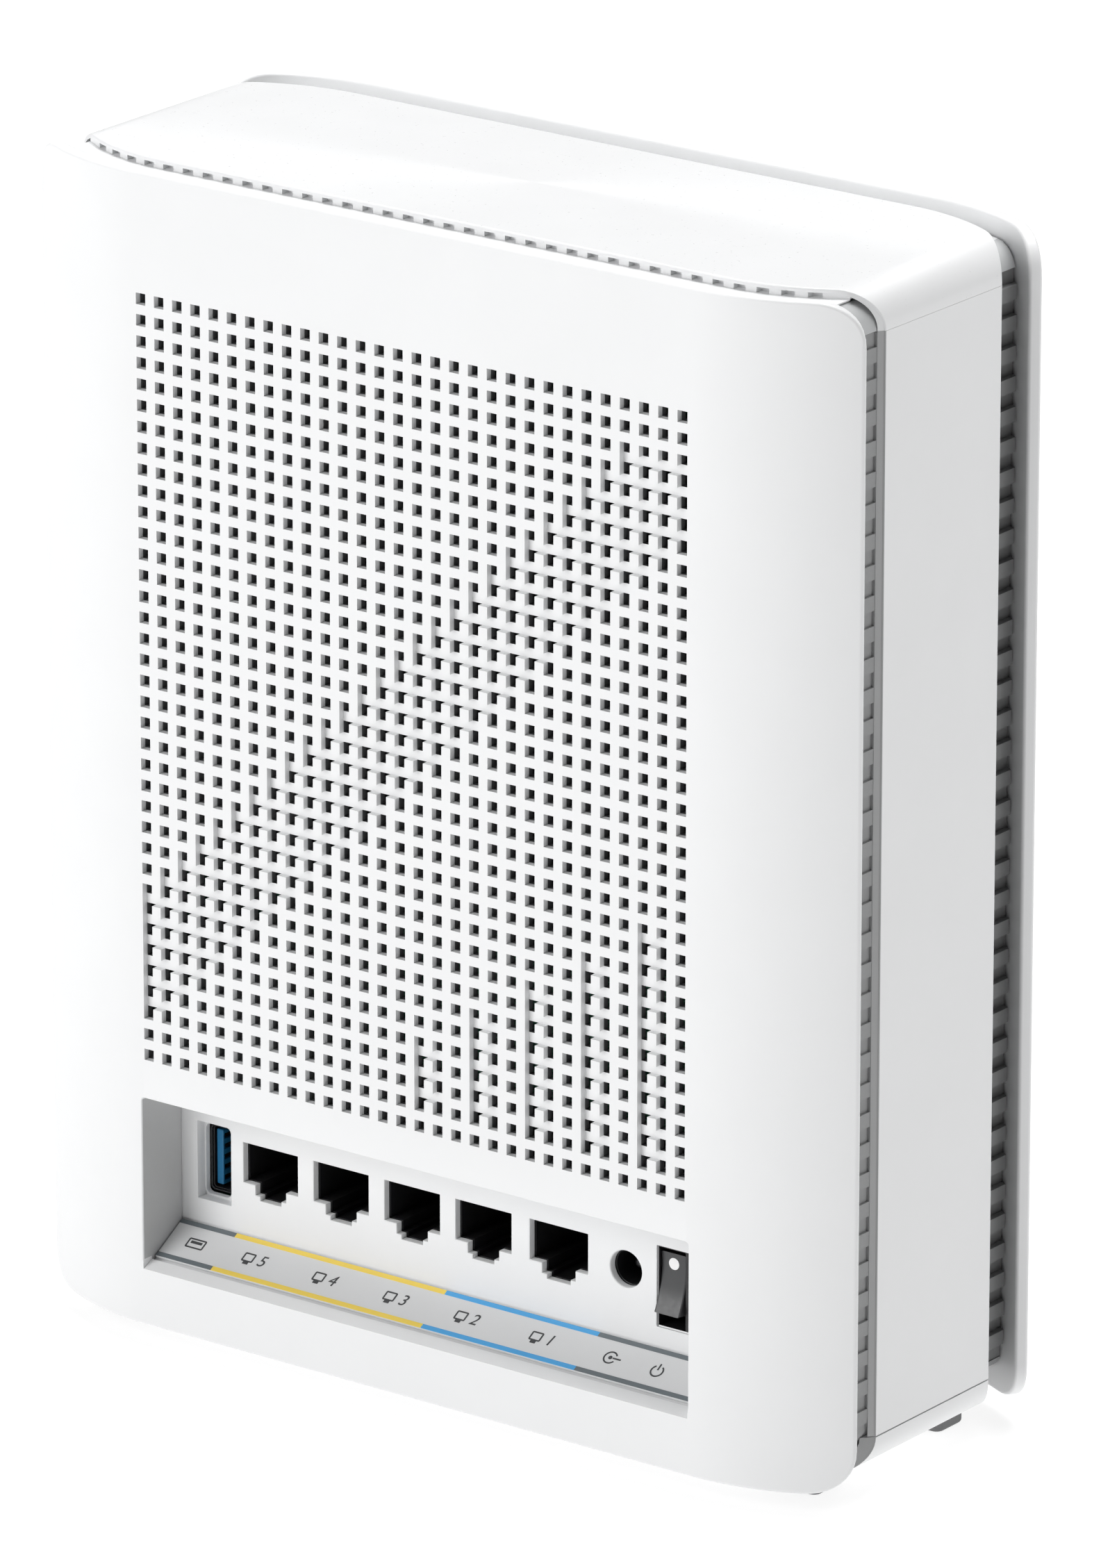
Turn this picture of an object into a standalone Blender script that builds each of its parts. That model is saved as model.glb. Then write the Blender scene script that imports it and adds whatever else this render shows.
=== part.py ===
"""Wireless router: two curved plates on a slim central shell, with its ports, switch and inner parts.

Run with: blender --background --python part.py
Frame: origin at the bottom centre, +Z up, +Y towards the side with the ports, X across the width.
Lengths below are in millimetres and are turned into metres when a mesh is made.
"""

import math

import bmesh
import bpy
from mathutils import Vector

MM = 0.001

# ---------------------------------------------------------------- driving dimensions
WIDTH = 186.0
DEPTH = 75.5
HEIGHT = 228.0
GAP = 0.3  # clearance kept between neighbouring pieces
PAST = 1.0  # how far a cutter runs beyond the faces that it cuts through

# The two outer plates: flat in the middle, then an arc towards each side.
PLATE_T = 2.5
PLATE_BOTTOM = 4.2
PLATE_CORNER_R = 8.2
FLAT_HALF = 63.2
PLATE_ARC_R = 46.5
PLATE_FACE_Y = DEPTH / 2
PLATE_INNER_Y = PLATE_FACE_Y - PLATE_T
PLATE_SPAN_Y = (15.0, 45.0)  # reaches past a whole plate, its curved ends included
ARC_STEPS = 8

# The central shell, made of a top cap, two side walls and a base cover.
SHELL_HALF = 90.6
SHELL_WALL = 1.1
SHELL_MID_Y = 28.67
SHELL_ARC_R = 40.2
SHELL_TOP = HEIGHT
SHELL_BOTTOM = 4.8
CAP_CORNER_R = 7.6
BASE_CORNER_R = 7.2
BASE_FLOOR_T = 3.0
BASE_WALL = 2.2
BASE_LIP = 1.5
BASE_SLOTS = 7
BASE_SLOT_PITCH = 15.0
BASE_SLOT_W = 2.4
BASE_SLOT_Y = (8.0, 22.0)
CORNER_STEPS = 6

# The vented necks that join the shell to the plates.
NECK_HALF = SHELL_HALF - SHELL_WALL - GAP
NECK_TOP = SHELL_TOP - SHELL_WALL - GAP
NECK_BOTTOM = SHELL_BOTTOM + BASE_FLOOR_T + GAP
NECK_TOP_R = CAP_CORNER_R - SHELL_WALL - GAP
NECK_BOTTOM_R = 8.0
NECK_WALL = 1.8
NECK_START_Y = 9.0
VENT_START_INSET = 0.1
TOP_VENTS = 36
TOP_VENT_PITCH = 4.58
TOP_VENT_W = 2.4
SIDE_VENTS = 37
SIDE_VENT_PITCH = 5.71
SIDE_VENT_H = 2.9
SIDE_VENT_TOP = 219.0
BLIND_SIDE_VENTS = 2

# The grille of the rear plate: one vertical slot stands for each run of square holes.
GRILLE_COLUMNS = 30
GRILLE_COLUMN_PITCH = 4.212
GRILLE_SLOT_W = 2.2
GRILLE_BOTTOM = 57.1
GRILLE_TOP = 205.2
GRILLE_SLOTS_PER_COLUMN = 3
GRILLE_BRIDGE = 3.2

# The port recess behind the window of the rear plate.
WINDOW_HALF = 63.0
WINDOW_BOTTOM = 16.6
WINDOW_TOP = 49.4
RECESS_WALL = 1.8
RECESS_FLOOR_FRONT_Z = 15.8
RECESS_FLOOR_SLOPE = 0.597
IO_FACE_Y = 25.8
IO_PANEL_T = 1.5
RECESS_END_Y = IO_FACE_Y + GAP
LABEL_T = 0.6
LABEL_BACK_Y = 26.3
LABEL_FRONT_Y = 34.6
LABEL_HALF = WINDOW_HALF - GAP
TUB_OVERLAP = 0.7
PORT_FACE_Y = IO_FACE_Y - IO_PANEL_T - GAP

# Network sockets, from the +X side to the -X side.
JACK_CENTRES_X = (42.1, 25.5, 8.9, -7.6, -24.9)
JACK_HALF_OPENINGS = (6.42, 6.42, 6.42, 6.42, 6.63)
JACK_TOP = 40.2
JACK_MAIN_BOTTOM = 32.3
JACK_STEP_BOTTOM = 30.3
JACK_LATCH_BOTTOM = 29.4
JACK_STEP_INSET = 2.84
JACK_LATCH_INSET = 3.97
JACK_BODY_HALF = 7.7
JACK_BODY_TOP = 42.0
JACK_BODY_DEPTH = 20.0
JACK_CAVITY_DEPTH = 13.0
JACK_LEDGE = 0.1  # how far a jack's mouth stands in from the panel's opening on each side

# USB socket, standing on edge behind a mouth at the bottom of a shallow pocket in the panel.
USB_POCKET_CENTRE = (55.44, 34.5)
USB_POCKET = (8.0, 15.35)
USB_POCKET_Y = 23.5
USB_BOSS_WALL = 1.0
USB_BOSS_BACK_Y = 22.3
USB_CENTRE = (56.25, 34.15)
USB_MOUTH = (5.9, 13.9)
USB_MOUTH_CORNER_R = 1.1
USB_SHELL_SIZE = (5.7, 13.15)
USB_SHELL_WALL = 0.35
USB_SHELL_CORNER_R = 1.0
USB_SHELL_FRONT_Y = USB_BOSS_BACK_Y - GAP
USB_SHELL_DEPTH = 15.0
USB_SHELL_BACK_T = 0.8
USB_TONGUE_X = (56.55, 58.1)
USB_TONGUE_H = 10.9
USB_TONGUE_FRONT_Y = 21.6

# Power inlet.
DC_CENTRE = (-40.2, 35.4)
DC_HOLE_R = 3.55
DC_BORE_R = 3.4
DC_BODY_HALF = 4.6
DC_BODY_TOP = 41.0
DC_BODY_DEPTH = 16.0
DC_BORE_DEPTH = 13.0
DC_PIN_R = 1.0
DC_PIN_LENGTH = 10.7
DC_PIN_TIP = 0.5

# Rocker switch: it is drawn with its upper end pressed in.
SWITCH_CUTOUT_X = (-54.5, -47.2)
SWITCH_X = (-53.5, -47.2)
SWITCH_Z = (25.9, 41.7)
SWITCH_WALL = 1.0
SWITCH_BACK_T = 1.2
SWITCH_DEPTH = 12.0
ROCKER_X = (-53.15, -47.5)
ROCKER_PIVOT_Y = 20.8
ROCKER_HALF_H = 5.75
ROCKER_REACH = 5.27
ROCKER_DISH = 0.9
ROCKER_BACK = ((1.0, 5.5), (-3.0, 4.0))
ROCKER_REST_ANGLE = math.radians(11.5)
ROCKER_BORE_R = 1.1
ROCKER_PIN_R = 0.8
ROCKER_PIN_HOLD = 0.8  # length of the pin inside each wall of the housing

# Circuit boards.
PORT_BOARD_Z = (24.6, 26.2)
PORT_BOARD_X = (-45.4, 62.0)
PORT_BOARD_Y = (-14.0, 22.0)
MAIN_BOARD_HALF_W = 68.0
MAIN_BOARD_Z = (52.0, 204.0)
BOARD_HALF_T = 0.8
LINK_HALF = (18.0, 2.5)

# Cooling stack, mirrored on both faces of the main board.
CAN_HALF_W = 38.0
CAN_Z = (100.0, 180.0)
CAN_Y = (1.1, 3.4)
CAN_WALL = 0.4
PAD_Y = (3.7, 4.7)
PAD_INSET = 3.0
SINK_BASE_Y = (5.0, 7.5)
SINK_FIN_Y = 22.0
SINK_HALF_W = 58.0
SINK_Z = (88.0, 192.0)
SINK_FINS = 13
SINK_FIN_T = 1.6

# Inner frame and its cross bars.
FRAME_HALF_Y = 8.0
FRAME_WALL = 3.0
BAR_Z = ((53.0, 59.0), (199.0, 205.0))
BAR_Y = (-8.0, -1.1)
BAR_HALF_W = NECK_HALF - 2.0
BOSS_X = (54.0, 66.0)
BOSS_HALF_Y = FRAME_HALF_Y - 0.2
BOSS_TOP = 20.0

# Underside controls.
PAIRING_X = -20.0
PAIRING_CAP_R = 3.2
PAIRING_HOLE_R = 3.5
PAIRING_FLANGE_R = 4.6
PAIRING_STEM_R = 1.5
RESET_X = 20.0
RESET_PIN_R = 1.0
RESET_HOLE_R = 1.4
RESET_FLANGE_R = 2.6
PAIRING_PROUD = 0.2
RESET_RECESS = 0.8
BUTTON_FLANGE_Z = (8.1, 9.2)
BUTTON_STEM_TOP = 19.9
TACT_SIZE = (6.0, 6.0)
TACT_Z = (20.8, 24.3)

# Screws.
BASE_SCREW_XY = ((60.0, 4.0), (-60.0, 4.0), (60.0, -4.0), (-60.0, -4.0))
BASE_SCREW_HEAD_R = 2.8
BASE_SCREW_SHANK_R = 1.4
BASE_SCREW_HEAD_H = 1.3
BASE_SCREW_LENGTH = 11.0
BASE_SCREW_RECESS = 1.9
BASE_SCREW_SUNK = 0.3
BASE_SCREW_HOLE_TOP = 18.5
BOARD_SCREW_X = 60.0
BOARD_SCREW_HEAD_R = 2.5
BOARD_SCREW_SHANK_R = 1.25
BOARD_SCREW_HEAD_H = 1.4
BOARD_SCREW_LENGTH = 7.0
SCREW_SIDES = 12
SCREW_DOME = 0.75  # radius of a head's face as a share of the head's radius
SCREW_DOME_H = 0.4  # height of the dome as a share of the head's height
SCREW_TIP = 1.0

# Rubber feet.
FOOT_X = (67.5, 81.5)
FOOT_Y = (15.0, 23.5)
FOOT_TOP = SHELL_BOTTOM - GAP
FOOT_CORNER_R = 1.6

# Antennas and their leads.
ANTENNA_X = 80.0
ANTENNA_SIZE = (1.0, 12.0, 40.0)
ANTENNA_Z = (90.0, 160.0)
COAX_R = 0.6

# Status light.
LIGHT_HALF_W = 5.0
LIGHT_Z = (27.0, 28.6)
LIGHT_BACK_Y = -14.6

WHITE = ("white_plastic", (0.84, 0.85, 0.85), 0.42, 0.0)
PANEL_WHITE = ("panel_white", (0.86, 0.86, 0.86), 0.45, 0.0)
NECK_GREY = ("neck_plastic", (0.60, 0.61, 0.61), 0.50, 0.0)
LABEL_GREY = ("label_film", (0.66, 0.67, 0.68), 0.35, 0.0)
BLACK = ("black_plastic", (0.02, 0.02, 0.02), 0.45, 0.0)
ROCKER_GREY = ("rocker_plastic", (0.10, 0.10, 0.105), 0.30, 0.0)
BLUE = ("blue_plastic", (0.02, 0.20, 0.45), 0.40, 0.0)
STEEL = ("plated_steel", (0.62, 0.63, 0.64), 0.30, 1.0)
RUBBER = ("foot_rubber", (0.10, 0.10, 0.10), 0.85, 0.0)
BOARD_GREEN = ("circuit_board", (0.02, 0.16, 0.09), 0.50, 0.0)
ALUMINIUM = ("sink_aluminium", (0.70, 0.71, 0.72), 0.40, 1.0)
PAD_GREY = ("thermal_pad", (0.35, 0.40, 0.55), 0.80, 0.0)
FRAME_GREY = ("frame_plastic", (0.12, 0.12, 0.13), 0.60, 0.0)
LENS = ("light_lens", (0.85, 0.88, 0.90), 0.20, 0.0)
COAX_BLACK = ("coax_jacket", (0.05, 0.05, 0.05), 0.50, 0.0)


# ---------------------------------------------------------------- helpers
def clear_scene():
    for obj in list(bpy.data.objects):
        bpy.data.objects.remove(obj)


def material(spec):
    name, colour, roughness, metallic = spec
    found = bpy.data.materials.get(name)
    if found:
        return found
    made = bpy.data.materials.new(name)
    made.use_nodes = True
    shader = made.node_tree.nodes["Principled BSDF"]
    shader.inputs["Base Color"].default_value = (*colour, 1.0)
    shader.inputs["Roughness"].default_value = roughness
    shader.inputs["Metallic"].default_value = metallic
    return made


def place(axis, a, b, along):
    """The point with coordinate `along` on `axis`, and a, b on the other two axes in X, Y, Z order."""
    if axis == "X":
        return Vector((along, a, b)) * MM
    if axis == "Y":
        return Vector((a, along, b)) * MM
    return Vector((a, b, along)) * MM


def add_prism(mesh, outline, axis, low, high):
    """Adds the outline extruded along an axis to a bmesh, as one closed body."""
    bottom = [mesh.verts.new(place(axis, a, b, low)) for a, b in outline]
    top = [mesh.verts.new(place(axis, a, b, high)) for a, b in outline]
    faces = [mesh.faces.new(bottom), mesh.faces.new(top)]
    count = len(outline)
    for i in range(count):
        j = (i + 1) % count
        faces.append(mesh.faces.new((bottom[i], bottom[j], top[j], top[i])))
    bmesh.ops.recalc_face_normals(mesh, faces=faces)


def add_turned(mesh, profile, sides):
    """Adds a body turned round Z from (radius, z) pairs that start and end on the axis."""
    rings = []
    for radius, z in profile:
        if radius == 0:
            rings.append([mesh.verts.new(Vector((0, 0, z)) * MM)])
            continue
        angles = [2 * math.pi * i / sides for i in range(sides)]
        ring = [Vector((radius * math.cos(t), radius * math.sin(t), z)) * MM for t in angles]
        rings.append([mesh.verts.new(point) for point in ring])
    faces = []
    for lower, upper in zip(rings, rings[1:]):
        for i in range(sides):
            j = (i + 1) % sides
            if len(lower) == 1:
                faces.append(mesh.faces.new((lower[0], upper[j], upper[i])))
            elif len(upper) == 1:
                faces.append(mesh.faces.new((lower[i], lower[j], upper[0])))
            else:
                faces.append(mesh.faces.new((lower[i], lower[j], upper[j], upper[i])))
    bmesh.ops.recalc_face_normals(mesh, faces=faces)


def finish(mesh, name, spec=None, smooth_angle=None):
    """Turns a bmesh into a linked object."""
    data = bpy.data.meshes.new(name)
    mesh.to_mesh(data)
    mesh.free()
    obj = bpy.data.objects.new(name, data)
    bpy.context.scene.collection.objects.link(obj)
    if spec:
        data.materials.append(material(spec))
    if smooth_angle:
        data.shade_smooth()
        data.set_sharp_from_angle(angle=math.radians(smooth_angle))
    return obj


def prism(name, spec, outline, axis, low, high, smooth_angle=None):
    mesh = bmesh.new()
    add_prism(mesh, outline, axis, low, high)
    return finish(mesh, name, spec, smooth_angle)


def rectangle(a_low, a_high, b_low, b_high):
    return [(a_low, b_low), (a_high, b_low), (a_high, b_high), (a_low, b_high)]


def box(name, spec, x, y, z):
    return prism(name, spec, rectangle(x[0], x[1], z[0], z[1]), "Y", y[0], y[1])


def circle(centre_a, centre_b, radius, sides):
    angles = [2 * math.pi * (i + 0.5) / sides for i in range(sides)]
    return [(centre_a + radius * math.cos(t), centre_b + radius * math.sin(t)) for t in angles]


def arc(centre_a, centre_b, radius, start, end, steps):
    """Points on an arc, both ends included. Angles are in degrees."""
    angles = [math.radians(start + (end - start) * i / steps) for i in range(steps + 1)]
    return [(centre_a + radius * math.cos(t), centre_b + radius * math.sin(t)) for t in angles]


def rounded_outline(half_a, b_low, b_high, r_low, r_high, steps):
    """A rectangle symmetric about a = 0, with one radius for the lower corners and one for the upper."""
    points = arc(half_a - r_low, b_low + r_low, r_low, -90, 0, steps)
    points += arc(half_a - r_high, b_high - r_high, r_high, 0, 90, steps)
    points += arc(-half_a + r_high, b_high - r_high, r_high, 90, 180, steps)
    points += arc(-half_a + r_low, b_low + r_low, r_low, 180, 270, steps)
    return points


def shifted(outline, a, b):
    return [(p + a, q + b) for p, q in outline]


def cutter(name, bodies):
    """A hidden object that holds several closed prisms, each given as (outline, axis, low, high)."""
    mesh = bmesh.new()
    for outline, axis, low, high in bodies:
        add_prism(mesh, outline, axis, low, high)
    obj = finish(mesh, name)
    obj.hide_render = True
    obj.display_type = "WIRE"
    return obj


def boolean(obj, other, operation):
    step = obj.modifiers.new(other.name, "BOOLEAN")
    step.operation = operation
    step.solver = "EXACT"
    step.object = other


def cut(obj, bodies):
    boolean(obj, cutter(f"cut_{obj.name}_{len(obj.modifiers)}", bodies), "DIFFERENCE")


def keep_inside(obj, bodies):
    boolean(obj, cutter(f"keep_{obj.name}_{len(obj.modifiers)}", bodies), "INTERSECT")


def join(obj, bodies):
    boolean(obj, cutter(f"join_{obj.name}_{len(obj.modifiers)}", bodies), "UNION")


def end_arc(mid_y, radius, half, steps):
    """The curve of a face from x = half to x = FLAT_HALF, where it meets the flat middle."""
    turn = math.degrees(math.asin((half - FLAT_HALF) / radius))
    return arc(FLAT_HALF, mid_y - radius, radius, 90 - turn, 90, steps)


def full_curve(mid_y, radius, half, steps):
    """The whole curve from x = +half to x = -half."""
    right = end_arc(mid_y, radius, half, steps)
    return right + [(-x, y) for x, y in reversed(right)]


def mirrored_y(outline):
    return [(x, -y) for x, y in outline]


# ---------------------------------------------------------------- outer plates
def plate_section():
    """Plan of a plate: the outer curve, then the concentric inner curve, cut square at the ends."""
    turn = math.degrees(math.asin((WIDTH / 2 - FLAT_HALF) / PLATE_ARC_R))
    inner_r = PLATE_ARC_R - PLATE_T
    outer = full_curve(PLATE_FACE_Y, PLATE_ARC_R, WIDTH / 2, ARC_STEPS)
    inner_right = arc(FLAT_HALF, PLATE_FACE_Y - PLATE_ARC_R, inner_r, 90 - turn, 90, ARC_STEPS)
    inner = inner_right + [(-x, y) for x, y in reversed(inner_right)]
    return outer + inner[::-1]


def make_plate(name, side):
    section = plate_section()
    if side < 0:
        section = mirrored_y(section)
    plate = prism(name, WHITE, section, "Z", PLATE_BOTTOM, HEIGHT, 30)
    outline = rounded_outline(
        WIDTH / 2 + 0.01, PLATE_BOTTOM - 0.01, HEIGHT + 0.01, PLATE_CORNER_R, PLATE_CORNER_R, CORNER_STEPS
    )
    span = sorted(side * y for y in PLATE_SPAN_Y)
    keep_inside(plate, [(outline, "Y", *span)])
    return plate


def grille_slots():
    """Each column holds a few long slots with bridges between them."""
    span = (GRILLE_TOP - GRILLE_BOTTOM + GRILLE_BRIDGE) / GRILLE_SLOTS_PER_COLUMN
    slots = []
    for column in range(GRILLE_COLUMNS):
        x = (column - (GRILLE_COLUMNS - 1) / 2) * GRILLE_COLUMN_PITCH
        for row in range(GRILLE_SLOTS_PER_COLUMN):
            z = GRILLE_BOTTOM + row * span
            outline = rectangle(x - GRILLE_SLOT_W / 2, x + GRILLE_SLOT_W / 2, z, z + span - GRILLE_BRIDGE)
            slots.append((outline, "Y", PLATE_INNER_Y - PAST, PLATE_FACE_Y + PAST))
    return slots


def floor_z(y):
    return RECESS_FLOOR_FRONT_Z + RECESS_FLOOR_SLOPE * (PLATE_INNER_Y - y)


def make_rear_panel():
    panel = make_plate("rear_panel", 1)
    overlap_y = PLATE_INNER_Y + TUB_OVERLAP
    tub = [
        (RECESS_END_Y, floor_z(RECESS_END_Y) - RECESS_WALL),
        (overlap_y, floor_z(overlap_y) - RECESS_WALL),
        (overlap_y, WINDOW_TOP + RECESS_WALL),
        (RECESS_END_Y, WINDOW_TOP + RECESS_WALL),
    ]
    cavity = [
        (RECESS_END_Y - PAST, floor_z(RECESS_END_Y - PAST)),
        (PLATE_INNER_Y, floor_z(PLATE_INNER_Y)),
        (PLATE_INNER_Y, WINDOW_TOP),
        (RECESS_END_Y - PAST, WINDOW_TOP),
    ]
    window = rectangle(-WINDOW_HALF, WINDOW_HALF, WINDOW_BOTTOM, WINDOW_TOP)
    half = WINDOW_HALF + RECESS_WALL
    join(panel, [(tub, "X", -half, half)])
    cut(panel, [(cavity, "X", -WINDOW_HALF, WINDOW_HALF)])
    cut(panel, [(window, "Y", PLATE_INNER_Y - PAST, PLATE_FACE_Y + PAST)])
    cut(panel, grille_slots())


def make_front_panel():
    panel = make_plate("front_panel", -1)
    slit = rectangle(-LIGHT_HALF_W - GAP, LIGHT_HALF_W + GAP, LIGHT_Z[0] - GAP, LIGHT_Z[1] + GAP)
    cut(panel, [(slit, "Y", -PLATE_FACE_Y - PAST, -PLATE_INNER_Y + PAST)])


# ---------------------------------------------------------------- central shell
def shell_plan():
    rear = full_curve(SHELL_MID_Y, SHELL_ARC_R, SHELL_HALF, ARC_STEPS)
    return rear + mirrored_y(rear)[::-1]


def make_top_cap():
    outer = arc(SHELL_HALF - CAP_CORNER_R, SHELL_TOP - CAP_CORNER_R, CAP_CORNER_R, 0, 90, CORNER_STEPS)
    inner = arc(
        SHELL_HALF - CAP_CORNER_R,
        SHELL_TOP - CAP_CORNER_R,
        CAP_CORNER_R - SHELL_WALL,
        90,
        0,
        CORNER_STEPS,
    )
    mirrored_outer = [(-x, z) for x, z in reversed(outer)]
    mirrored_inner = [(-x, z) for x, z in reversed(inner)]
    section = outer + mirrored_outer + mirrored_inner + inner
    cap = prism("top_cap", WHITE, section, "Y", -SHELL_MID_Y - PAST, SHELL_MID_Y + PAST, 30)
    keep_inside(cap, [(shell_plan(), "Z", SHELL_TOP - CAP_CORNER_R - PAST, SHELL_TOP + PAST)])


def shell_edge_y(x):
    if x <= FLAT_HALF:
        return SHELL_MID_Y
    return SHELL_MID_Y - SHELL_ARC_R + math.sqrt(SHELL_ARC_R**2 - (x - FLAT_HALF) ** 2)


def make_side_walls():
    low = SHELL_BOTTOM + BASE_CORNER_R + GAP / 2
    high = SHELL_TOP - CAP_CORNER_R - GAP
    inner = SHELL_HALF - SHELL_WALL
    for name, side in (("side_wall_left", 1), ("side_wall_right", -1)):
        section = [
            (side * inner, -shell_edge_y(inner)),
            (side * SHELL_HALF, -shell_edge_y(SHELL_HALF)),
            (side * SHELL_HALF, shell_edge_y(SHELL_HALF)),
            (side * inner, shell_edge_y(inner)),
        ]
        prism(name, WHITE, section, "Z", low, high)


def make_base_cover():
    centre_x = SHELL_HALF - BASE_CORNER_R
    centre_z = SHELL_BOTTOM + BASE_CORNER_R
    outer = arc(centre_x, centre_z, BASE_CORNER_R, -90, 0, CORNER_STEPS)
    inner = arc(centre_x, centre_z, BASE_CORNER_R - BASE_WALL, 0, -60, CORNER_STEPS)
    floor_top = SHELL_BOTTOM + BASE_FLOOR_T
    lip = [point for point in inner if point[1] > floor_top] + [(centre_x + BASE_LIP, floor_top)]
    right = outer + [(x, z - GAP / 2) if z == centre_z else (x, z) for x, z in lip]
    section = right + [(-x, z) for x, z in reversed(right)]
    cover = prism("base_cover", WHITE, section, "Y", -SHELL_MID_Y - PAST, SHELL_MID_Y + PAST, 30)
    keep_inside(cover, [(shell_plan(), "Z", SHELL_BOTTOM - PAST, centre_z + PAST)])
    through = (SHELL_BOTTOM - PAST, floor_top + PAST)
    holes = [
        (circle(PAIRING_X, 0, PAIRING_HOLE_R, 20), "Z", *through),
        (circle(RESET_X, 0, RESET_HOLE_R, 12), "Z", *through),
    ]
    for x, y in BASE_SCREW_XY:
        holes.append((circle(x, y, BASE_SCREW_SHANK_R + GAP, SCREW_SIDES), "Z", *through))
    cut(cover, holes)
    recess = (SHELL_BOTTOM - PAST, SHELL_BOTTOM + BASE_SCREW_RECESS)
    cut(cover, [(circle(x, y, BASE_SCREW_HEAD_R + GAP, 16), "Z", *recess) for x, y in BASE_SCREW_XY])
    slots = []
    for i in range(BASE_SLOTS):
        x = (i - (BASE_SLOTS - 1) / 2) * BASE_SLOT_PITCH
        for side in (-1, 1):
            low, high = sorted((side * BASE_SLOT_Y[0], side * BASE_SLOT_Y[1]))
            slots.append((rectangle(x - BASE_SLOT_W / 2, x + BASE_SLOT_W / 2, low, high), "Z", *through))
    cut(cover, slots)


# ---------------------------------------------------------------- vented necks and inner frame
def neck_outline(inset):
    """The neck's outline in X, Z, shrunk by an inset."""
    return rounded_outline(
        NECK_HALF - inset,
        NECK_BOTTOM + inset,
        NECK_TOP - inset,
        NECK_BOTTOM_R - inset,
        NECK_TOP_R - inset,
        CORNER_STEPS,
    )


def side_vents():
    """The (low z, high z) of each open side vent, from the top down."""
    spans = []
    for i in range(SIDE_VENTS - BLIND_SIDE_VENTS):
        z = SIDE_VENT_TOP - i * SIDE_VENT_PITCH
        spans.append((z - SIDE_VENT_H / 2, z + SIDE_VENT_H / 2))
    return spans


def make_vent_frame(name, side):
    outer = neck_outline(0)
    inner = neck_outline(NECK_WALL)
    low, high = sorted((side * NECK_START_Y, side * PLATE_FACE_Y))
    frame = prism(name, NECK_GREY, outer, "Y", low, high, 30)
    cut(frame, [(inner, "Y", low - PAST, high + PAST)])
    limit = full_curve(PLATE_INNER_Y - GAP, PLATE_ARC_R - PLATE_T - GAP, NECK_HALF + PAST, ARC_STEPS)
    plan = limit + [(-NECK_HALF - PAST, 0), (NECK_HALF + PAST, 0)]
    if side < 0:
        plan = mirrored_y(plan)
    keep_inside(frame, [(plan, "Z", NECK_BOTTOM - PAST, NECK_TOP + PAST)])
    notches = []
    for i in range(TOP_VENTS):
        x = (i - (TOP_VENTS - 1) / 2) * TOP_VENT_PITCH
        start = shell_edge_y(abs(x)) + VENT_START_INSET
        left, right = x - TOP_VENT_W / 2, x + TOP_VENT_W / 2
        outline = rectangle(left, right, NECK_TOP - NECK_WALL - PAST, NECK_TOP + PAST)
        notches.append((outline, "Y", *sorted((side * start, side * PLATE_FACE_Y))))
    start = shell_edge_y(NECK_HALF) + VENT_START_INSET
    for z_low, z_high in side_vents():
        for mirror in (-1, 1):
            across = sorted((mirror * (NECK_HALF - NECK_WALL - PAST), mirror * (NECK_HALF + PAST)))
            outline = rectangle(*across, z_low, z_high)
            notches.append((outline, "Y", *sorted((side * start, side * PLATE_FACE_Y))))
    cut(frame, notches)


def make_inner_frame():
    outer = neck_outline(0)
    inner = neck_outline(FRAME_WALL)
    frame = prism("inner_frame", FRAME_GREY, outer, "Y", -FRAME_HALF_Y, FRAME_HALF_Y, 30)
    cut(frame, [(inner, "Y", -FRAME_HALF_Y - PAST, FRAME_HALF_Y + PAST)])
    additions = [(rectangle(-BAR_HALF_W, BAR_HALF_W, low, high), "Y", *BAR_Y) for low, high in BAR_Z]
    for side in (-1, 1):
        across = sorted((side * BOSS_X[0], side * BOSS_X[1]))
        boss = rectangle(*across, NECK_BOTTOM + FRAME_WALL / 2, BOSS_TOP)
        additions.append((boss, "Y", -BOSS_HALF_Y, BOSS_HALF_Y))
    join(frame, additions)
    holes = []
    for x, y in BASE_SCREW_XY:
        outline = circle(x, y, BASE_SCREW_SHANK_R + GAP, SCREW_SIDES)
        holes.append((outline, "Z", NECK_BOTTOM - PAST, BASE_SCREW_HOLE_TOP))
    for low, high in BAR_Z:
        for side in (-1, 1):
            outline = circle(side * BOARD_SCREW_X, (low + high) / 2, BOARD_SCREW_SHANK_R + GAP, SCREW_SIDES)
            holes.append((outline, "Y", BAR_Y[0] - PAST, BAR_Y[1] + PAST))
    for x in (PAIRING_X, RESET_X):
        outline = circle(x, 0, PAIRING_FLANGE_R + GAP, 20)
        holes.append((outline, "Z", NECK_BOTTOM - PAST, NECK_BOTTOM + FRAME_WALL + PAST))
    cut(frame, holes)


# ---------------------------------------------------------------- port area
def jack_outline(centre_x, half):
    right = [
        (half, JACK_TOP),
        (half, JACK_MAIN_BOTTOM),
        (half - JACK_STEP_INSET, JACK_MAIN_BOTTOM),
        (half - JACK_STEP_INSET, JACK_STEP_BOTTOM),
        (half - JACK_LATCH_INSET, JACK_STEP_BOTTOM),
        (half - JACK_LATCH_INSET, JACK_LATCH_BOTTOM),
    ]
    left = [(-a, b) for a, b in reversed(right)]
    return shifted(right + left, centre_x, 0)


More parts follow.
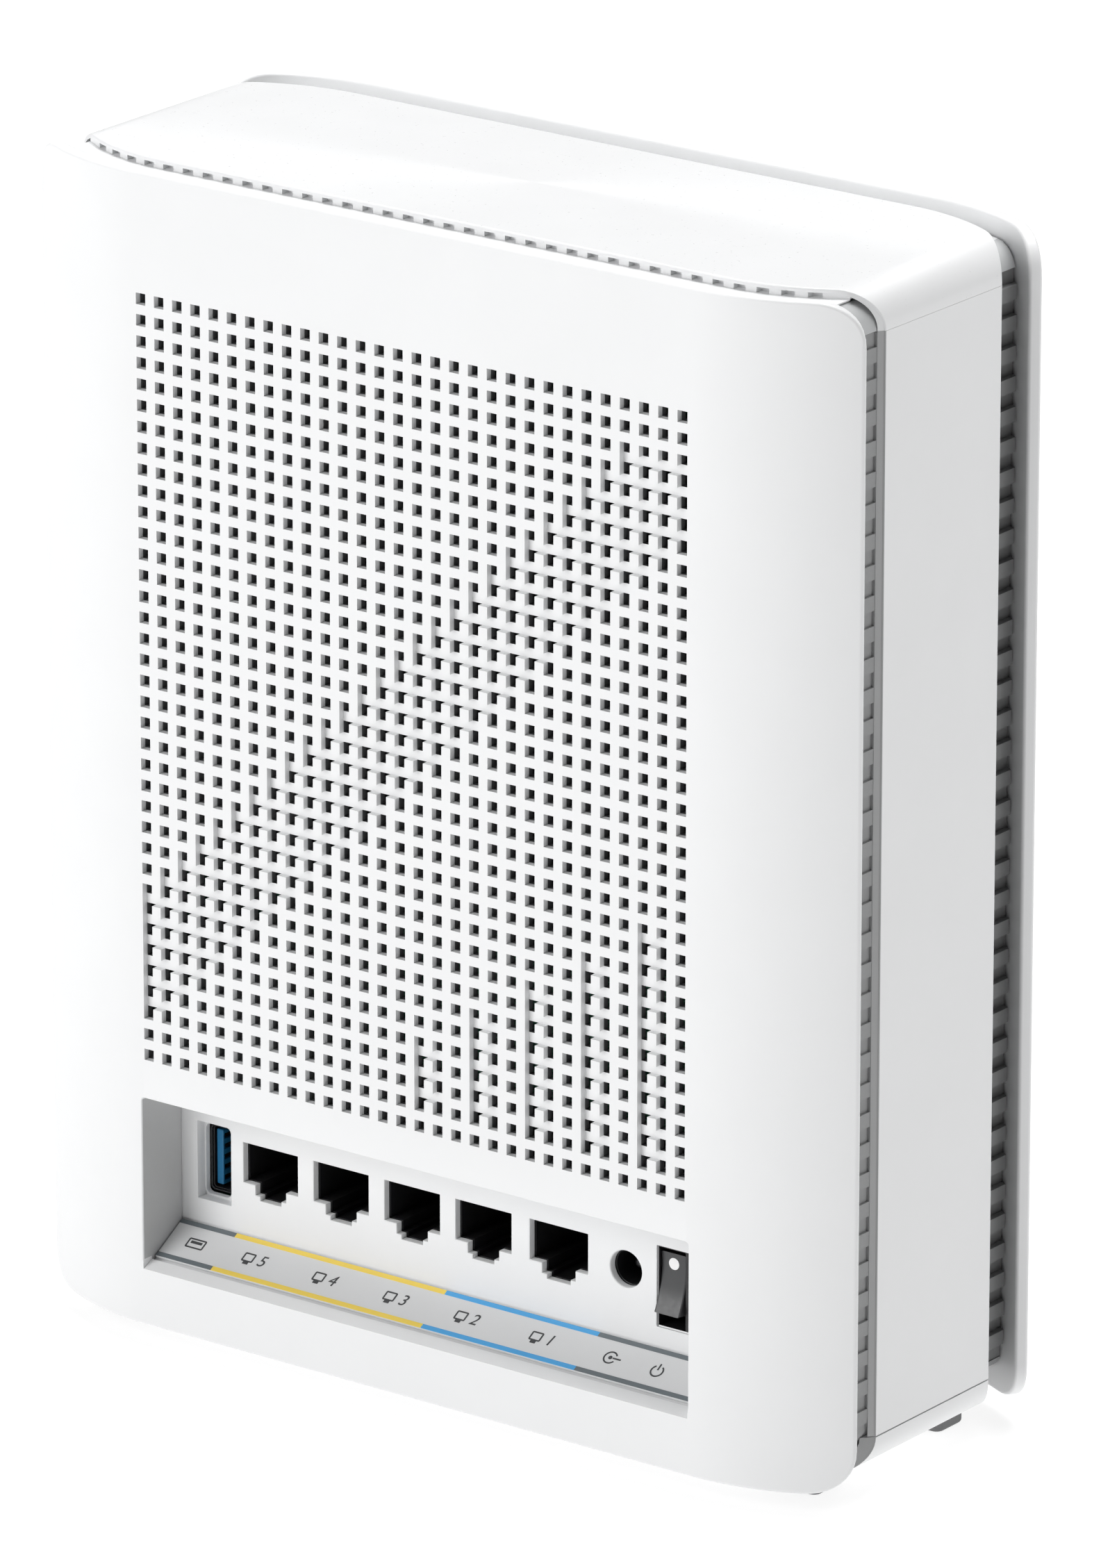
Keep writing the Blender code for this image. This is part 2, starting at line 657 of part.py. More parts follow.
def make_io_panel():
    half = WINDOW_HALF + RECESS_WALL
    bottom = floor_z(RECESS_END_Y) - RECESS_WALL
    panel = box(
        "io_panel",
        PANEL_WHITE,
        (-half, half),
        (IO_FACE_Y - IO_PANEL_T, IO_FACE_Y),
        (bottom, WINDOW_TOP + RECESS_WALL),
    )
    boss_size = [side + 2 * USB_BOSS_WALL for side in USB_POCKET]
    boss = rounded_rectangle(USB_POCKET_CENTRE, boss_size, USB_BOSS_WALL, 2)
    join(panel, [(boss, "Y", USB_BOSS_BACK_Y, IO_FACE_Y - IO_PANEL_T / 2)])
    pocket = rounded_rectangle(USB_POCKET_CENTRE, USB_POCKET, 0.3, 2)
    cut(panel, [(pocket, "Y", USB_POCKET_Y, IO_FACE_Y + PAST)])
    openings = [jack_outline(x, half) for x, half in zip(JACK_CENTRES_X, JACK_HALF_OPENINGS)]
    openings.append(rounded_rectangle(USB_CENTRE, USB_MOUTH, USB_MOUTH_CORNER_R, 4))
    openings.append(circle(*DC_CENTRE, DC_HOLE_R, 32))
    openings.append(rectangle(*SWITCH_CUTOUT_X, *SWITCH_Z))
    cut(panel, [(outline, "Y", USB_BOSS_BACK_Y - PAST, IO_FACE_Y + PAST) for outline in openings])


def rounded_rectangle(centre, size, radius, steps):
    outline = rounded_outline(size[0] / 2, -size[1] / 2, size[1] / 2, radius, radius, steps)
    return shifted(outline, *centre)


def make_label_strip():
    lift = GAP * math.hypot(1, RECESS_FLOOR_SLOPE)
    section = [
        (LABEL_BACK_Y, floor_z(LABEL_BACK_Y) + lift),
        (LABEL_FRONT_Y, floor_z(LABEL_FRONT_Y) + lift),
        (LABEL_FRONT_Y, floor_z(LABEL_FRONT_Y) + lift + LABEL_T),
        (LABEL_BACK_Y, floor_z(LABEL_BACK_Y) + lift + LABEL_T),
    ]
    prism("label_strip", LABEL_GREY, section, "X", -LABEL_HALF, LABEL_HALF)


def make_network_jacks():
    for i, (x, half) in enumerate(zip(JACK_CENTRES_X, JACK_HALF_OPENINGS), 1):
        jack = box(
            f"network_jack_{i}",
            BLACK,
            (x - JACK_BODY_HALF, x + JACK_BODY_HALF),
            (PORT_FACE_Y - JACK_BODY_DEPTH, PORT_FACE_Y),
            (PORT_BOARD_Z[1] + GAP, JACK_BODY_TOP),
        )
        mouth = jack_outline(x, half - JACK_LEDGE)
        cut(jack, [(mouth, "Y", PORT_FACE_Y - JACK_CAVITY_DEPTH, PORT_FACE_Y + PAST)])


def make_usb_socket():
    back_y = USB_SHELL_FRONT_Y - USB_SHELL_DEPTH
    outer = rounded_rectangle(USB_CENTRE, USB_SHELL_SIZE, USB_SHELL_CORNER_R, 3)
    inner_size = [side - 2 * USB_SHELL_WALL for side in USB_SHELL_SIZE]
    inner = rounded_rectangle(USB_CENTRE, inner_size, USB_SHELL_CORNER_R - USB_SHELL_WALL, 3)
    shell = prism("usb_shell", STEEL, outer, "Y", back_y, USB_SHELL_FRONT_Y, 30)
    cut(shell, [(inner, "Y", back_y + USB_SHELL_BACK_T, USB_SHELL_FRONT_Y + PAST)])
    z = USB_CENTRE[1]
    box(
        "usb_tongue",
        BLUE,
        USB_TONGUE_X,
        (back_y + USB_SHELL_BACK_T + GAP, USB_TONGUE_FRONT_Y),
        (z - USB_TONGUE_H / 2, z + USB_TONGUE_H / 2),
    )


def make_power_inlet():
    x, z = DC_CENTRE
    body = box(
        "dc_jack_body",
        BLACK,
        (x - DC_BODY_HALF, x + DC_BODY_HALF),
        (PORT_FACE_Y - DC_BODY_DEPTH, PORT_FACE_Y),
        (PORT_BOARD_Z[1] + GAP, DC_BODY_TOP),
    )
    bore = circle(x, z, DC_BORE_R, 32)
    cut(body, [(bore, "Y", PORT_FACE_Y - DC_BORE_DEPTH, PORT_FACE_Y + PAST)])
    mesh = bmesh.new()
    profile = [
        (0, 0),
        (DC_PIN_R, 0),
        (DC_PIN_R, DC_PIN_LENGTH - DC_PIN_TIP),
        (DC_PIN_R - DC_PIN_TIP, DC_PIN_LENGTH),
        (0, DC_PIN_LENGTH),
    ]
    add_turned(mesh, profile, 16)
    pin = finish(mesh, "dc_jack_pin", STEEL, 40)
    pin.rotation_euler = (-math.pi / 2, 0, 0)
    pin.location = Vector((x, PORT_FACE_Y - DC_BORE_DEPTH + GAP, z)) * MM


def make_power_switch():
    pivot_z = sum(SWITCH_Z) / 2
    housing_x = (SWITCH_CUTOUT_X[0] - SWITCH_WALL, SWITCH_CUTOUT_X[1] + SWITCH_WALL)
    housing = box(
        "switch_housing",
        BLACK,
        housing_x,
        (PORT_FACE_Y - SWITCH_DEPTH, PORT_FACE_Y),
        (SWITCH_Z[0] - SWITCH_WALL, SWITCH_Z[1] + SWITCH_WALL),
    )
    floor_y = PORT_FACE_Y - SWITCH_DEPTH + SWITCH_BACK_T
    cut(housing, [(rectangle(*SWITCH_X, *SWITCH_Z), "Y", floor_y, PORT_FACE_Y + PAST)])
    bore = circle(ROCKER_PIVOT_Y, pivot_z, ROCKER_BORE_R, 20)
    cut(housing, [(bore, "X", housing_x[0] - PAST, housing_x[1] + PAST)])
    centre_x = sum(ROCKER_X) / 2
    half_w = (ROCKER_X[1] - ROCKER_X[0]) / 2
    rocker = prism("power_rocker", ROCKER_GREY, rocker_section(), "X", -half_w, half_w, 30)
    rocker.location = Vector((centre_x, ROCKER_PIVOT_Y, pivot_z)) * MM
    rocker.rotation_euler = (ROCKER_REST_ANGLE, 0, 0)
    bore = cutter("cut_power_rocker", [(circle(0, 0, ROCKER_BORE_R, 20), "X", -half_w - PAST, half_w + PAST)])
    bore.location = rocker.location
    boolean(rocker, bore, "DIFFERENCE")
    pin_x = (SWITCH_X[0] - ROCKER_PIN_HOLD, SWITCH_X[1] + ROCKER_PIN_HOLD)
    prism("rocker_pin", STEEL, circle(ROCKER_PIVOT_Y, pivot_z, ROCKER_PIN_R, 20), "X", *pin_x, 40)


def rocker_section():
    """The rocker's side outline about its pivot, as (y, z), before it is tilted.

    The front is dished and the back is narrow.
    """
    radius = (ROCKER_HALF_H**2 + ROCKER_DISH**2) / (2 * ROCKER_DISH)
    centre_y = ROCKER_REACH - ROCKER_DISH + radius
    spread = math.degrees(math.asin(ROCKER_HALF_H / radius))
    front = arc(centre_y, 0, radius, 180 - spread, 180 + spread, 10)
    return front + [(y, -z) for y, z in ROCKER_BACK] + list(reversed(ROCKER_BACK))


# ---------------------------------------------------------------- boards and cooling
def make_boards():
    box("port_board", BOARD_GREEN, PORT_BOARD_X, PORT_BOARD_Y, PORT_BOARD_Z)
    board = box(
        "main_board",
        BOARD_GREEN,
        (-MAIN_BOARD_HALF_W, MAIN_BOARD_HALF_W),
        (-BOARD_HALF_T, BOARD_HALF_T),
        MAIN_BOARD_Z,
    )
    holes = []
    for low, high in BAR_Z:
        for side in (-1, 1):
            z = (low + high) / 2
            outline = circle(side * BOARD_SCREW_X, z, BOARD_SCREW_SHANK_R + GAP, SCREW_SIDES)
            holes.append((outline, "Y", -BOARD_HALF_T - PAST, BOARD_HALF_T + PAST))
    cut(board, holes)
    box(
        "board_link",
        BLACK,
        (-LINK_HALF[0], LINK_HALF[0]),
        (-LINK_HALF[1], LINK_HALF[1]),
        (PORT_BOARD_Z[1] + GAP, MAIN_BOARD_Z[0] - GAP),
    )


def sink_section():
    """Plan of a finned heat sink on the +Y side."""
    pitch = (2 * SINK_HALF_W - SINK_FIN_T) / (SINK_FINS - 1)
    points = [(-SINK_HALF_W, SINK_BASE_Y[0])]
    for i in range(SINK_FINS):
        left = -SINK_HALF_W + i * pitch
        if i:
            points.append((left, SINK_BASE_Y[1]))
        points += [(left, SINK_FIN_Y), (left + SINK_FIN_T, SINK_FIN_Y)]
        if i < SINK_FINS - 1:
            points.append((left + SINK_FIN_T, SINK_BASE_Y[1]))
    points.append((SINK_HALF_W, SINK_BASE_Y[0]))
    return points


def make_cooling():
    for word, side in (("rear", 1), ("front", -1)):
        can_y = sorted((side * CAN_Y[0], side * CAN_Y[1]))
        can = box(f"shield_can_{word}", STEEL, (-CAN_HALF_W, CAN_HALF_W), can_y, CAN_Z)
        hollow = rectangle(
            -CAN_HALF_W + CAN_WALL, CAN_HALF_W - CAN_WALL, CAN_Z[0] + CAN_WALL, CAN_Z[1] - CAN_WALL
        )
        cut(can, [(hollow, "Y", *sorted((0.0, side * (CAN_Y[1] - CAN_WALL))))])
        pad_x = (-CAN_HALF_W + PAD_INSET, CAN_HALF_W - PAD_INSET)
        pad_y = sorted((side * PAD_Y[0], side * PAD_Y[1]))
        pad_z = (CAN_Z[0] + PAD_INSET, CAN_Z[1] - PAD_INSET)
        box(f"thermal_pad_{word}", PAD_GREY, pad_x, pad_y, pad_z)
        section = sink_section()
        if side < 0:
            section = mirrored_y(section)
        prism(f"heatsink_{word}", ALUMINIUM, section, "Z", *SINK_Z)


# ---------------------------------------------------------------- antennas
def make_antennas():
    thick, wide, tall = ANTENNA_SIZE
    number = 0
    for side in (1, -1):
        for z in ANTENNA_Z:
            number += 1
            across = sorted((side * ANTENNA_X, side * (ANTENNA_X + thick)))
            box(f"antenna_{number}", BOARD_GREEN, across, (-wide / 2, wide / 2), (z - tall / 2, z + tall / 2))
            make_coax(number, side, z)


def make_coax(number, side, z):
    """A thin lead from an antenna's foot to the edge of the main board."""
    start = Vector((side * (ANTENNA_X - COAX_R - GAP), 0, z - 8))
    end = Vector((side * (MAIN_BOARD_HALF_W - 4), BOARD_HALF_T + COAX_R + GAP, z - 26))
    first = start + Vector((-side * 3, 6, -8))
    last = end + Vector((side * 8, 5, 4))
    steps = 12
    curve = bpy.data.curves.new(f"coax_{number}", "CURVE")
    curve.dimensions = "3D"
    curve.bevel_depth = COAX_R * MM
    curve.bevel_resolution = 2
    curve.use_fill_caps = True
    spline = curve.splines.new("POLY")
    spline.points.add(steps)
    for i in range(steps + 1):
        t = i / steps
        point = (1 - t) ** 3 * start + 3 * (1 - t) ** 2 * t * first
        point += 3 * (1 - t) * t**2 * last + t**3 * end
        spline.points[i].co = (*(point * MM), 1.0)
    obj = bpy.data.objects.new(f"coax_{number}", curve)
    obj.data.materials.append(material(COAX_BLACK))
    bpy.context.scene.collection.objects.link(obj)


# ---------------------------------------------------------------- small pieces
def make_buttons():
    flange_low, flange_high = BUTTON_FLANGE_Z
    pairing_low = SHELL_BOTTOM - PAIRING_PROUD
    reset_low = SHELL_BOTTOM + RESET_RECESS
    specs = (
        ("pairing_button", PAIRING_X, pairing_low, PAIRING_CAP_R, PAIRING_FLANGE_R, PAIRING_STEM_R, 20),
        ("reset_button", RESET_X, reset_low, RESET_PIN_R, RESET_FLANGE_R, RESET_PIN_R, 12),
    )
    for name, x, low, cap_r, flange_r, stem_r, sides in specs:
        mesh = bmesh.new()
        profile = [
            (0, 0),
            (cap_r, 0),
            (cap_r, flange_low - low),
            (flange_r, flange_low - low),
            (flange_r, flange_high - low),
            (stem_r, flange_high - low),
            (stem_r, BUTTON_STEM_TOP - low),
            (0, BUTTON_STEM_TOP - low),
        ]
        add_turned(mesh, profile, sides)
        button = finish(mesh, name, WHITE, 40)
        button.location = Vector((x, 0, low)) * MM
        half_x, half_y = TACT_SIZE[0] / 2, TACT_SIZE[1] / 2
        tact_name = name.replace("button", "contact")
        box(tact_name, BLACK, (x - half_x, x + half_x), (-half_y, half_y), TACT_Z)


def add_screw(name, head_r, head_h, shank_r, length):
    """A pan head screw along +Z: its head's face is at z = 0 and its tip at z = head_h + length."""
    mesh = bmesh.new()
    profile = [
        (0, 0),
        (head_r * SCREW_DOME, 0),
        (head_r, head_h * SCREW_DOME_H),
        (head_r, head_h),
        (shank_r, head_h),
        (shank_r, head_h + length - SCREW_TIP),
        (0, head_h + length),
    ]
    add_turned(mesh, profile, SCREW_SIDES)
    return finish(mesh, name, STEEL, 40)


def make_screws():
    base_size = (BASE_SCREW_HEAD_R, BASE_SCREW_HEAD_H, BASE_SCREW_SHANK_R, BASE_SCREW_LENGTH)
    for i, (x, y) in enumerate(BASE_SCREW_XY, 1):
        screw = add_screw(f"base_screw_{i}", *base_size)
        screw.location = Vector((x, y, SHELL_BOTTOM + BASE_SCREW_SUNK)) * MM
    board_size = (BOARD_SCREW_HEAD_R, BOARD_SCREW_HEAD_H, BOARD_SCREW_SHANK_R, BOARD_SCREW_LENGTH)
    number = 0
    for low, high in BAR_Z:
        for side in (-1, 1):
            number += 1
            screw = add_screw(f"board_screw_{number}", *board_size)
            screw.rotation_euler = (math.pi / 2, 0, 0)
            head_y = BOARD_HALF_T + GAP + BOARD_SCREW_HEAD_H
            screw.location = Vector((side * BOARD_SCREW_X, head_y, (low + high) / 2)) * MM


def make_feet():
    size = (FOOT_X[1] - FOOT_X[0], FOOT_Y[1] - FOOT_Y[0])
    number = 0
    for side_x in (1, -1):
        for side_y in (1, -1):
            number += 1
            centre = (side_x * sum(FOOT_X) / 2, side_y * sum(FOOT_Y) / 2)
            outline = rounded_rectangle(centre, size, FOOT_CORNER_R, 3)
            prism(f"foot_{number}", RUBBER, outline, "Z", 0.0, FOOT_TOP, 40)


def make_light_pipe():
    box("light_pipe", LENS, (-LIGHT_HALF_W, LIGHT_HALF_W), (-PLATE_FACE_Y + 0.1, LIGHT_BACK_Y), LIGHT_Z)


def main():
    clear_scene()
    make_rear_panel()
    make_front_panel()
    make_top_cap()
    make_side_walls()
    make_base_cover()
    make_vent_frame("vent_frame_rear", 1)
    make_vent_frame("vent_frame_front", -1)
    make_inner_frame()
    make_io_panel()
    make_label_strip()
    make_network_jacks()
    make_usb_socket()
    make_power_inlet()
    make_power_switch()
    make_boards()
    make_cooling()
    make_antennas()
    make_buttons()
    make_screws()
    make_feet()
    make_light_pipe()


main()
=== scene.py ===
"""Looks for an upright wireless router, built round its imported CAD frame.

Lengths are in millimetres and become metres when a mesh is made. +Z is up, +Y points to the side
with the ports, and X runs across the width. Places come from the boxes of the CAD nodes.
"""

import math

import bmesh
import bpy
from mathutils import Matrix, Vector


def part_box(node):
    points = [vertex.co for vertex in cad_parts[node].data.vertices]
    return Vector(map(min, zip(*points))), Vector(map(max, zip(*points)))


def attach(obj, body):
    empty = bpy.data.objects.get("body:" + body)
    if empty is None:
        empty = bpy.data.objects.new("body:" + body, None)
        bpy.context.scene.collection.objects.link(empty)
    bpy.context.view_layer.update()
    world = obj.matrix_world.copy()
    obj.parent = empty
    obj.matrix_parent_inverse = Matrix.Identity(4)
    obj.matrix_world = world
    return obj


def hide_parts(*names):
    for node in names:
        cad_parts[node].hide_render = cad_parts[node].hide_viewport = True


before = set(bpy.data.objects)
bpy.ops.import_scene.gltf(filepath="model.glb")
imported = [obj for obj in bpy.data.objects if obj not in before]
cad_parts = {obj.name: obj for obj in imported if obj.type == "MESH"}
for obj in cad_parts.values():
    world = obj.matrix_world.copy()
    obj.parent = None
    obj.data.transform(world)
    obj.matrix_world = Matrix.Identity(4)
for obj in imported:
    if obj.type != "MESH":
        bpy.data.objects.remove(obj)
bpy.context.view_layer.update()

MM = 0.001
BODY = "router_body"
SHARP_ANGLE = math.radians(32.0)

# Outer plates, as in the CAD: flat in the middle, then an arc towards each side.
PLATE_T = 2.5
PLATE_CORNER_R = 8.4
PLATE_CORNER_POWER = 2.25
PLATE_EDGE_R = 0.6
FLAT_HALF = 63.2
PLATE_ARC_R = 46.5
ARC_STEPS = 26
CORNER_STEPS = 10
LENS_GAP = 0.4  # the status light's slit is this much longer and wider than its lens

# Grille of the rear plate.
COLUMNS = 30
ROWS = 37
COLUMN_PITCH = 4.212
ROW_PITCH = 4.054
HOLE = 2.2
HOLE_BEVEL = 0.08
GRILLE_CENTRE_Z = 131.15
GROOVE_DEPTH = 1.25
BAND_START, BAND_END = 28, 34  # the diagonal band's first and last column + row
BARS = ((15, 3), (18, 5), (21, 7), (24, 9), (27, 11))  # first column and height in rows
BAR_BASE_ROW = 35

# Port recess.
RECESS_WALL = 1.8
FLOOR_FRONT_Z = 15.8
FLOOR_SLOPE = 0.597
WINDOW_LIP = 0.8
WINDOW_RIM = 0.3
RECESS_GAP = 0.3  # between the recess's walls and the port panel
WINDOW_CORNER_R = 0.6
SILL_SLOPE = 0.48
OPENING_RIM = 0.22
REACH = 1  # how far a cutter runs past the face that it cuts

# Port panel.
PANEL_T = 1.5
JACK_HALVES = (6.42, 6.42, 6.42, 6.42, 6.63)  # half width of each network socket's mouth
# Corners of the mouth's +X half: how far in from its side, height, and which way is outwards.
JACK_CORNERS = (
    (0, 40.2, 1),
    (0, 32.3, -1),
    (2.84, 32.3, -1),
    (2.84, 30.3, -1),
    (3.97, 30.3, -1),
    (3.97, 29.4, -1),
)
JACK_CAVITY = 13.0
CONTACTS = 8
CONTACT_PITCH = 1.02
USB_POCKET_CENTRE = (55.44, 34.5)
USB_POCKET = (8.0, 15.35)
USB_POCKET_DEPTH = 2.3
USB_BOSS_WALL = 1.0
USB_BOSS_SET_BACK = 0.7
USB_MOUTH = (5.9, 13.9)
USB_MOUTH_R = 1.1
USB_PROUD = 0.25  # how far the visual shell stands further out than the CAD's
USB_PADS = 5
USB_PAD_PITCH = 2.05
DC_MOUTH_R = 3.55
DC_BORE_R = 3.35
SWITCH_CUTOUT = ((-54.5, 25.9), (-47.2, 41.7))

# Central shell.
SHELL_WALL = 1.1
CAP_CROWN = 0.8  # thickness of the top cap's level part
BASE_WALL = 2.2
SHELL_MID_Y = 28.67
SHELL_ARC_R = 40.2
SHELL_EDGE_R = 0.35
CAP_CORNER_R = 7.6
BASE_CORNER_R = 7.2
CORNER_TURNS = 14
LEVEL_STEPS = 18
SEAM = 0.05  # extra gap under the top cap
BASE_SEAM = 0.15  # extra gap above the base cover
BASE_HOLES = ((-20.0, 3.45), (20.0, 1.35))  # x and radius of the holes for the two buttons
BASE_SCREW_HOLE_R = 3.1
BASE_VENT_PITCH = 15.0
BASE_VENT = (2.4, 14.0)

# Vented necks.
NECK_WALL = 1.8
NECK_GROW = 0.25  # the rear neck's sides fill most of the CAD's clearance inside the shell
REAR_LEDGE_DROP = 0.5
FRONT_NECK_INSET = 2.6
NECK_TOP_R = 6.45
NECK_BOTTOM_R = 8.0
NECK_TURNS = 8
VENT_INSET = 0.05
NECK_OVERLAP = 2  # how far a neck runs into its plate before it is trimmed
NECK_GAP = 0.3  # clearance between a neck and its plate's inner face
NECK_SPLIT = 0.1  # the gap where a neck's light top and its grey sides meet
SIDE_VENTS = 37
SIDE_VENT_PITCH = 5.71
SIDE_VENT_H = 2.9
SIDE_VENT_TOP = 219.0
SIDE_VENT_DEPTHS = {"rear": 0.5, "front": 1.4}

# Rows of fins under the edges of the top cap.
TOP_VENTS = {"rear": 36, "front": 34}
TOP_VENT_PITCH = 4.58
TOP_VENT_W = 2.4
RAIL_ENDS = {"rear": 85.5, "front": 80.0}
RAIL_SET_BACK = 0.3
RAIL_SLOT_DEPTH = 1.8
RAIL_T = 3.0
RAIL_OVERLAP = 0.05
LEDGE_GAP = 0.4
LEDGE_T = 0.2

# Power switch. The rocker's outline is about its pivot, with Y out of the panel and Z up.
SWITCH_OPENING_LOW_X = -53.5
BEZEL_FACE_DEPTH = 0.3
BEZEL_W = 0.28
BEZEL_PLAY = 0.05  # clearance between the switch and the panel's cut-out
ROCKER_HALF_H = 5.75
ROCKER_REACH = 5.27
ROCKER_DISH = 0.9
ROCKER_R = (ROCKER_HALF_H**2 + ROCKER_DISH**2) / (2 * ROCKER_DISH)
ROCKER_CENTRE_Y = ROCKER_REACH - ROCKER_DISH + ROCKER_R
ROCKER_BACK = ((1.0, 5.5), (-3.0, 4.0))
ROCKER_TILT = math.radians(11.5)
ROCKER_STEPS = 28
AXLE_BORE_R = 1.1
MARK_R = 1.15
MARK_HEIGHT = 3.75

# Label strip and its print.
STRIP_T = 0.6
BAND_W = 1.0
BAND_INSET = 0.1
BAND_EDGES = (49.6, 0.3, -34.9)  # x where the bands change colour
PRINT_T = 0.04
PRINT_SINK = -0.05
ICON_LINE = 0.32
ICON_STEPS = 20
NUMERAL_H = 2.5
NUMERAL_T = 0.03
CAPITAL_SHARE = 0.7  # height of a numeral as a share of its font size

# Underside buttons: name and radii of cap, flange and stem. The flange lies between two heights.
BUTTONS = (("pairing_button", 3.15, 4.6, 1.5), ("reset_button", 1.0, 2.6, 1.0))
FLANGE_LOW_Z, FLANGE_HIGH_Z = 8.1, 9.2

# Screws: name, radius and height of the head, and radius of the shank.
SCREWS = (("base_screw", 2.8, 1.3, 1.35), ("board_screw", 2.5, 1.4, 1.2))
CROSS_SLOT = (0.55, 2.6)
CROSS_DEPTH = 0.7
THREAD_PITCH = 0.5
SCREW_TIP = 1.2


def cad(node):
    """Lowest and highest corner of a CAD node, in millimetres."""
    low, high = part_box(node)
    return low / MM, high / MM


def middle(node):
    low, high = cad(node)
    return (low + high) / 2


def seen_along_y(low, high):
    """Centre and size of a box in X and Z."""
    return ((low.x + high.x) / 2, (low.z + high.z) / 2), (high.x - low.x, high.z - low.z)


PLATE_FACE_Y = cad("rear_panel")[1].y


# ---- materials
def add_node(tree, kind, inputs=None, **settings):
    made = tree.nodes.new("ShaderNode" + kind)
    for name, value in settings.items():
        setattr(made, name, value)
    for name, value in (inputs or {}).items():
        made.inputs[name].default_value = value
    return made


def join(tree, source, output, target, socket):
    tree.links.new(source.outputs[output], target.inputs[socket])


def shade_of(colour, factor):
    return (*(min(c * factor, 1.0) for c in colour), 1.0)


def look(
    name, colour, rough, spread=0.03, mottle=60.0, grain=1400.0, bump=0.02, stretch=(1, 1, 1),
    **shader,
):
    """A material whose colour drifts a little, with a fine grain in its roughness and relief.

    Spread is the drift's size and mottle its scale; shader sets sockets by name.
    """
    made = bpy.data.materials.new(name)
    made.use_nodes = True
    tree = made.node_tree
    principled = tree.nodes["Principled BSDF"]
    for key, value in shader.items():
        principled.inputs[key.replace("_", " ").title().replace("Ior", "IOR")].default_value = value
    place = add_node(tree, "TexCoord")
    mapping = add_node(tree, "Mapping", {"Scale": stretch})
    join(tree, place, "Object", mapping, "Vector")
    drift = add_node(tree, "TexNoise", {"Scale": mottle, "Detail": 4.0, "Roughness": 0.55})
    fine = add_node(tree, "TexNoise", {"Scale": grain, "Detail": 3.0, "Roughness": 0.6})
    for noise in (drift, fine):
        join(tree, mapping, "Vector", noise, "Vector")
    ramp = add_node(tree, "ValToRGB")
    ramp.color_ramp.elements[0].position = 0.3
    ramp.color_ramp.elements[1].position = 0.7
    ramp.color_ramp.elements[0].color = shade_of(colour, 1 - spread)
    ramp.color_ramp.elements[1].color = shade_of(colour, 1 + spread)
    join(tree, drift, "Fac", ramp, "Fac")
    join(tree, ramp, "Color", principled, "Base Color")
    limits = {"To Min": max(rough * 0.85, 0.02), "To Max": min(rough * 1.15, 1.0)}
    roughness = add_node(tree, "MapRange", {"From Min": 0.3, "From Max": 0.7, **limits})
    join(tree, fine, "Fac", roughness, "Value")
    join(tree, roughness, "Result", principled, "Roughness")
    relief = add_node(tree, "Bump", {"Strength": 0.5, "Distance": bump * MM})
    join(tree, fine, "Fac", relief, "Height")
    join(tree, relief, "Normal", principled, "Normal")
    return made


def spun_look(name, colour, rough):
    """White plastic with a fine concentric spun finish round the vertical axis."""
    made = look(name, colour, rough, 0.01, anisotropic=0.85, specular_ior_level=0.6)
    tree = made.node_tree
    principled = tree.nodes["Principled BSDF"]
    tangent = add_node(tree, "Tangent", direction_type="RADIAL", axis="Z")
    join(tree, tangent, "Tangent", principled, "Tangent")
    return made


def board_look(name, mask, trace):
    """Solder mask with a net of slightly lighter copper runs under it."""
    made = look(name, mask, 0.35, 0.12, mottle=90.0, coat_weight=0.3)
    tree = made.node_tree
    principled = tree.nodes["Principled BSDF"]
    ramp = next(n for n in tree.nodes if n.bl_idname == "ShaderNodeValToRGB")
    place = next(n for n in tree.nodes if n.bl_idname == "ShaderNodeTexCoord")
    black, white = (0, 0, 0, 1), (1, 1, 1, 1)
    colours = {"Color1": black, "Color2": black, "Mortar": white}
    net = add_node(tree, "TexBrick", {"Scale": 260.0, "Mortar Size": 0.03, **colours})
    turned = add_node(tree, "Mapping", {"Rotation": (math.pi / 2, 0, 0)})
    join(tree, place, "Object", turned, "Vector")
    join(tree, turned, "Vector", net, "Vector")
    mix = add_node(tree, "Mix", data_type="RGBA")
    join(tree, net, "Color", mix, "Factor")
    join(tree, ramp, "Color", mix, "A")
    mix.inputs["B"].default_value = (*trace, 1.0)
    join(tree, mix, "Result", principled, "Base Color")
    return made


WHITE = look("white_shell_plastic", (0.86, 0.865, 0.87), 0.42, 0.008, specular_ior_level=0.4)
# Dark inner half of each grille hole's walls: painted shade of the deep holes.
GRILLE_PAINTED_SHADE = look("grille_hole_painted_shade", (0.12, 0.122, 0.125), 0.6, 0.05)
# Greyer paint on the port recess's side walls: painted shade of the recess, the walls being the
# shell's white plastic.
RECESS_SHADE = look("recess_shade", (0.5, 0.505, 0.51), 0.45, 0.03)
# Brighter white on the window's sill: painted light that makes up for the shade the recess casts on
# it.
SILL_PAINTED_LIGHT = look("sill_painted_light", (0.97, 0.975, 0.98), 0.42, 0.008, specular_ior_level=0.4)
TOP_WHITE = spun_look("spun_top_plastic", (0.86, 0.865, 0.87), 0.32)
PANEL = look("port_panel_plastic", (0.83, 0.835, 0.84), 0.5, 0.012, specular_ior_level=0.35)
NECK_LIGHT = look("neck_plastic_light", (0.52, 0.53, 0.535), 0.5, 0.02)
NECK_GREY = look("neck_plastic_grey", (0.30, 0.303, 0.305), 0.55, 0.02)
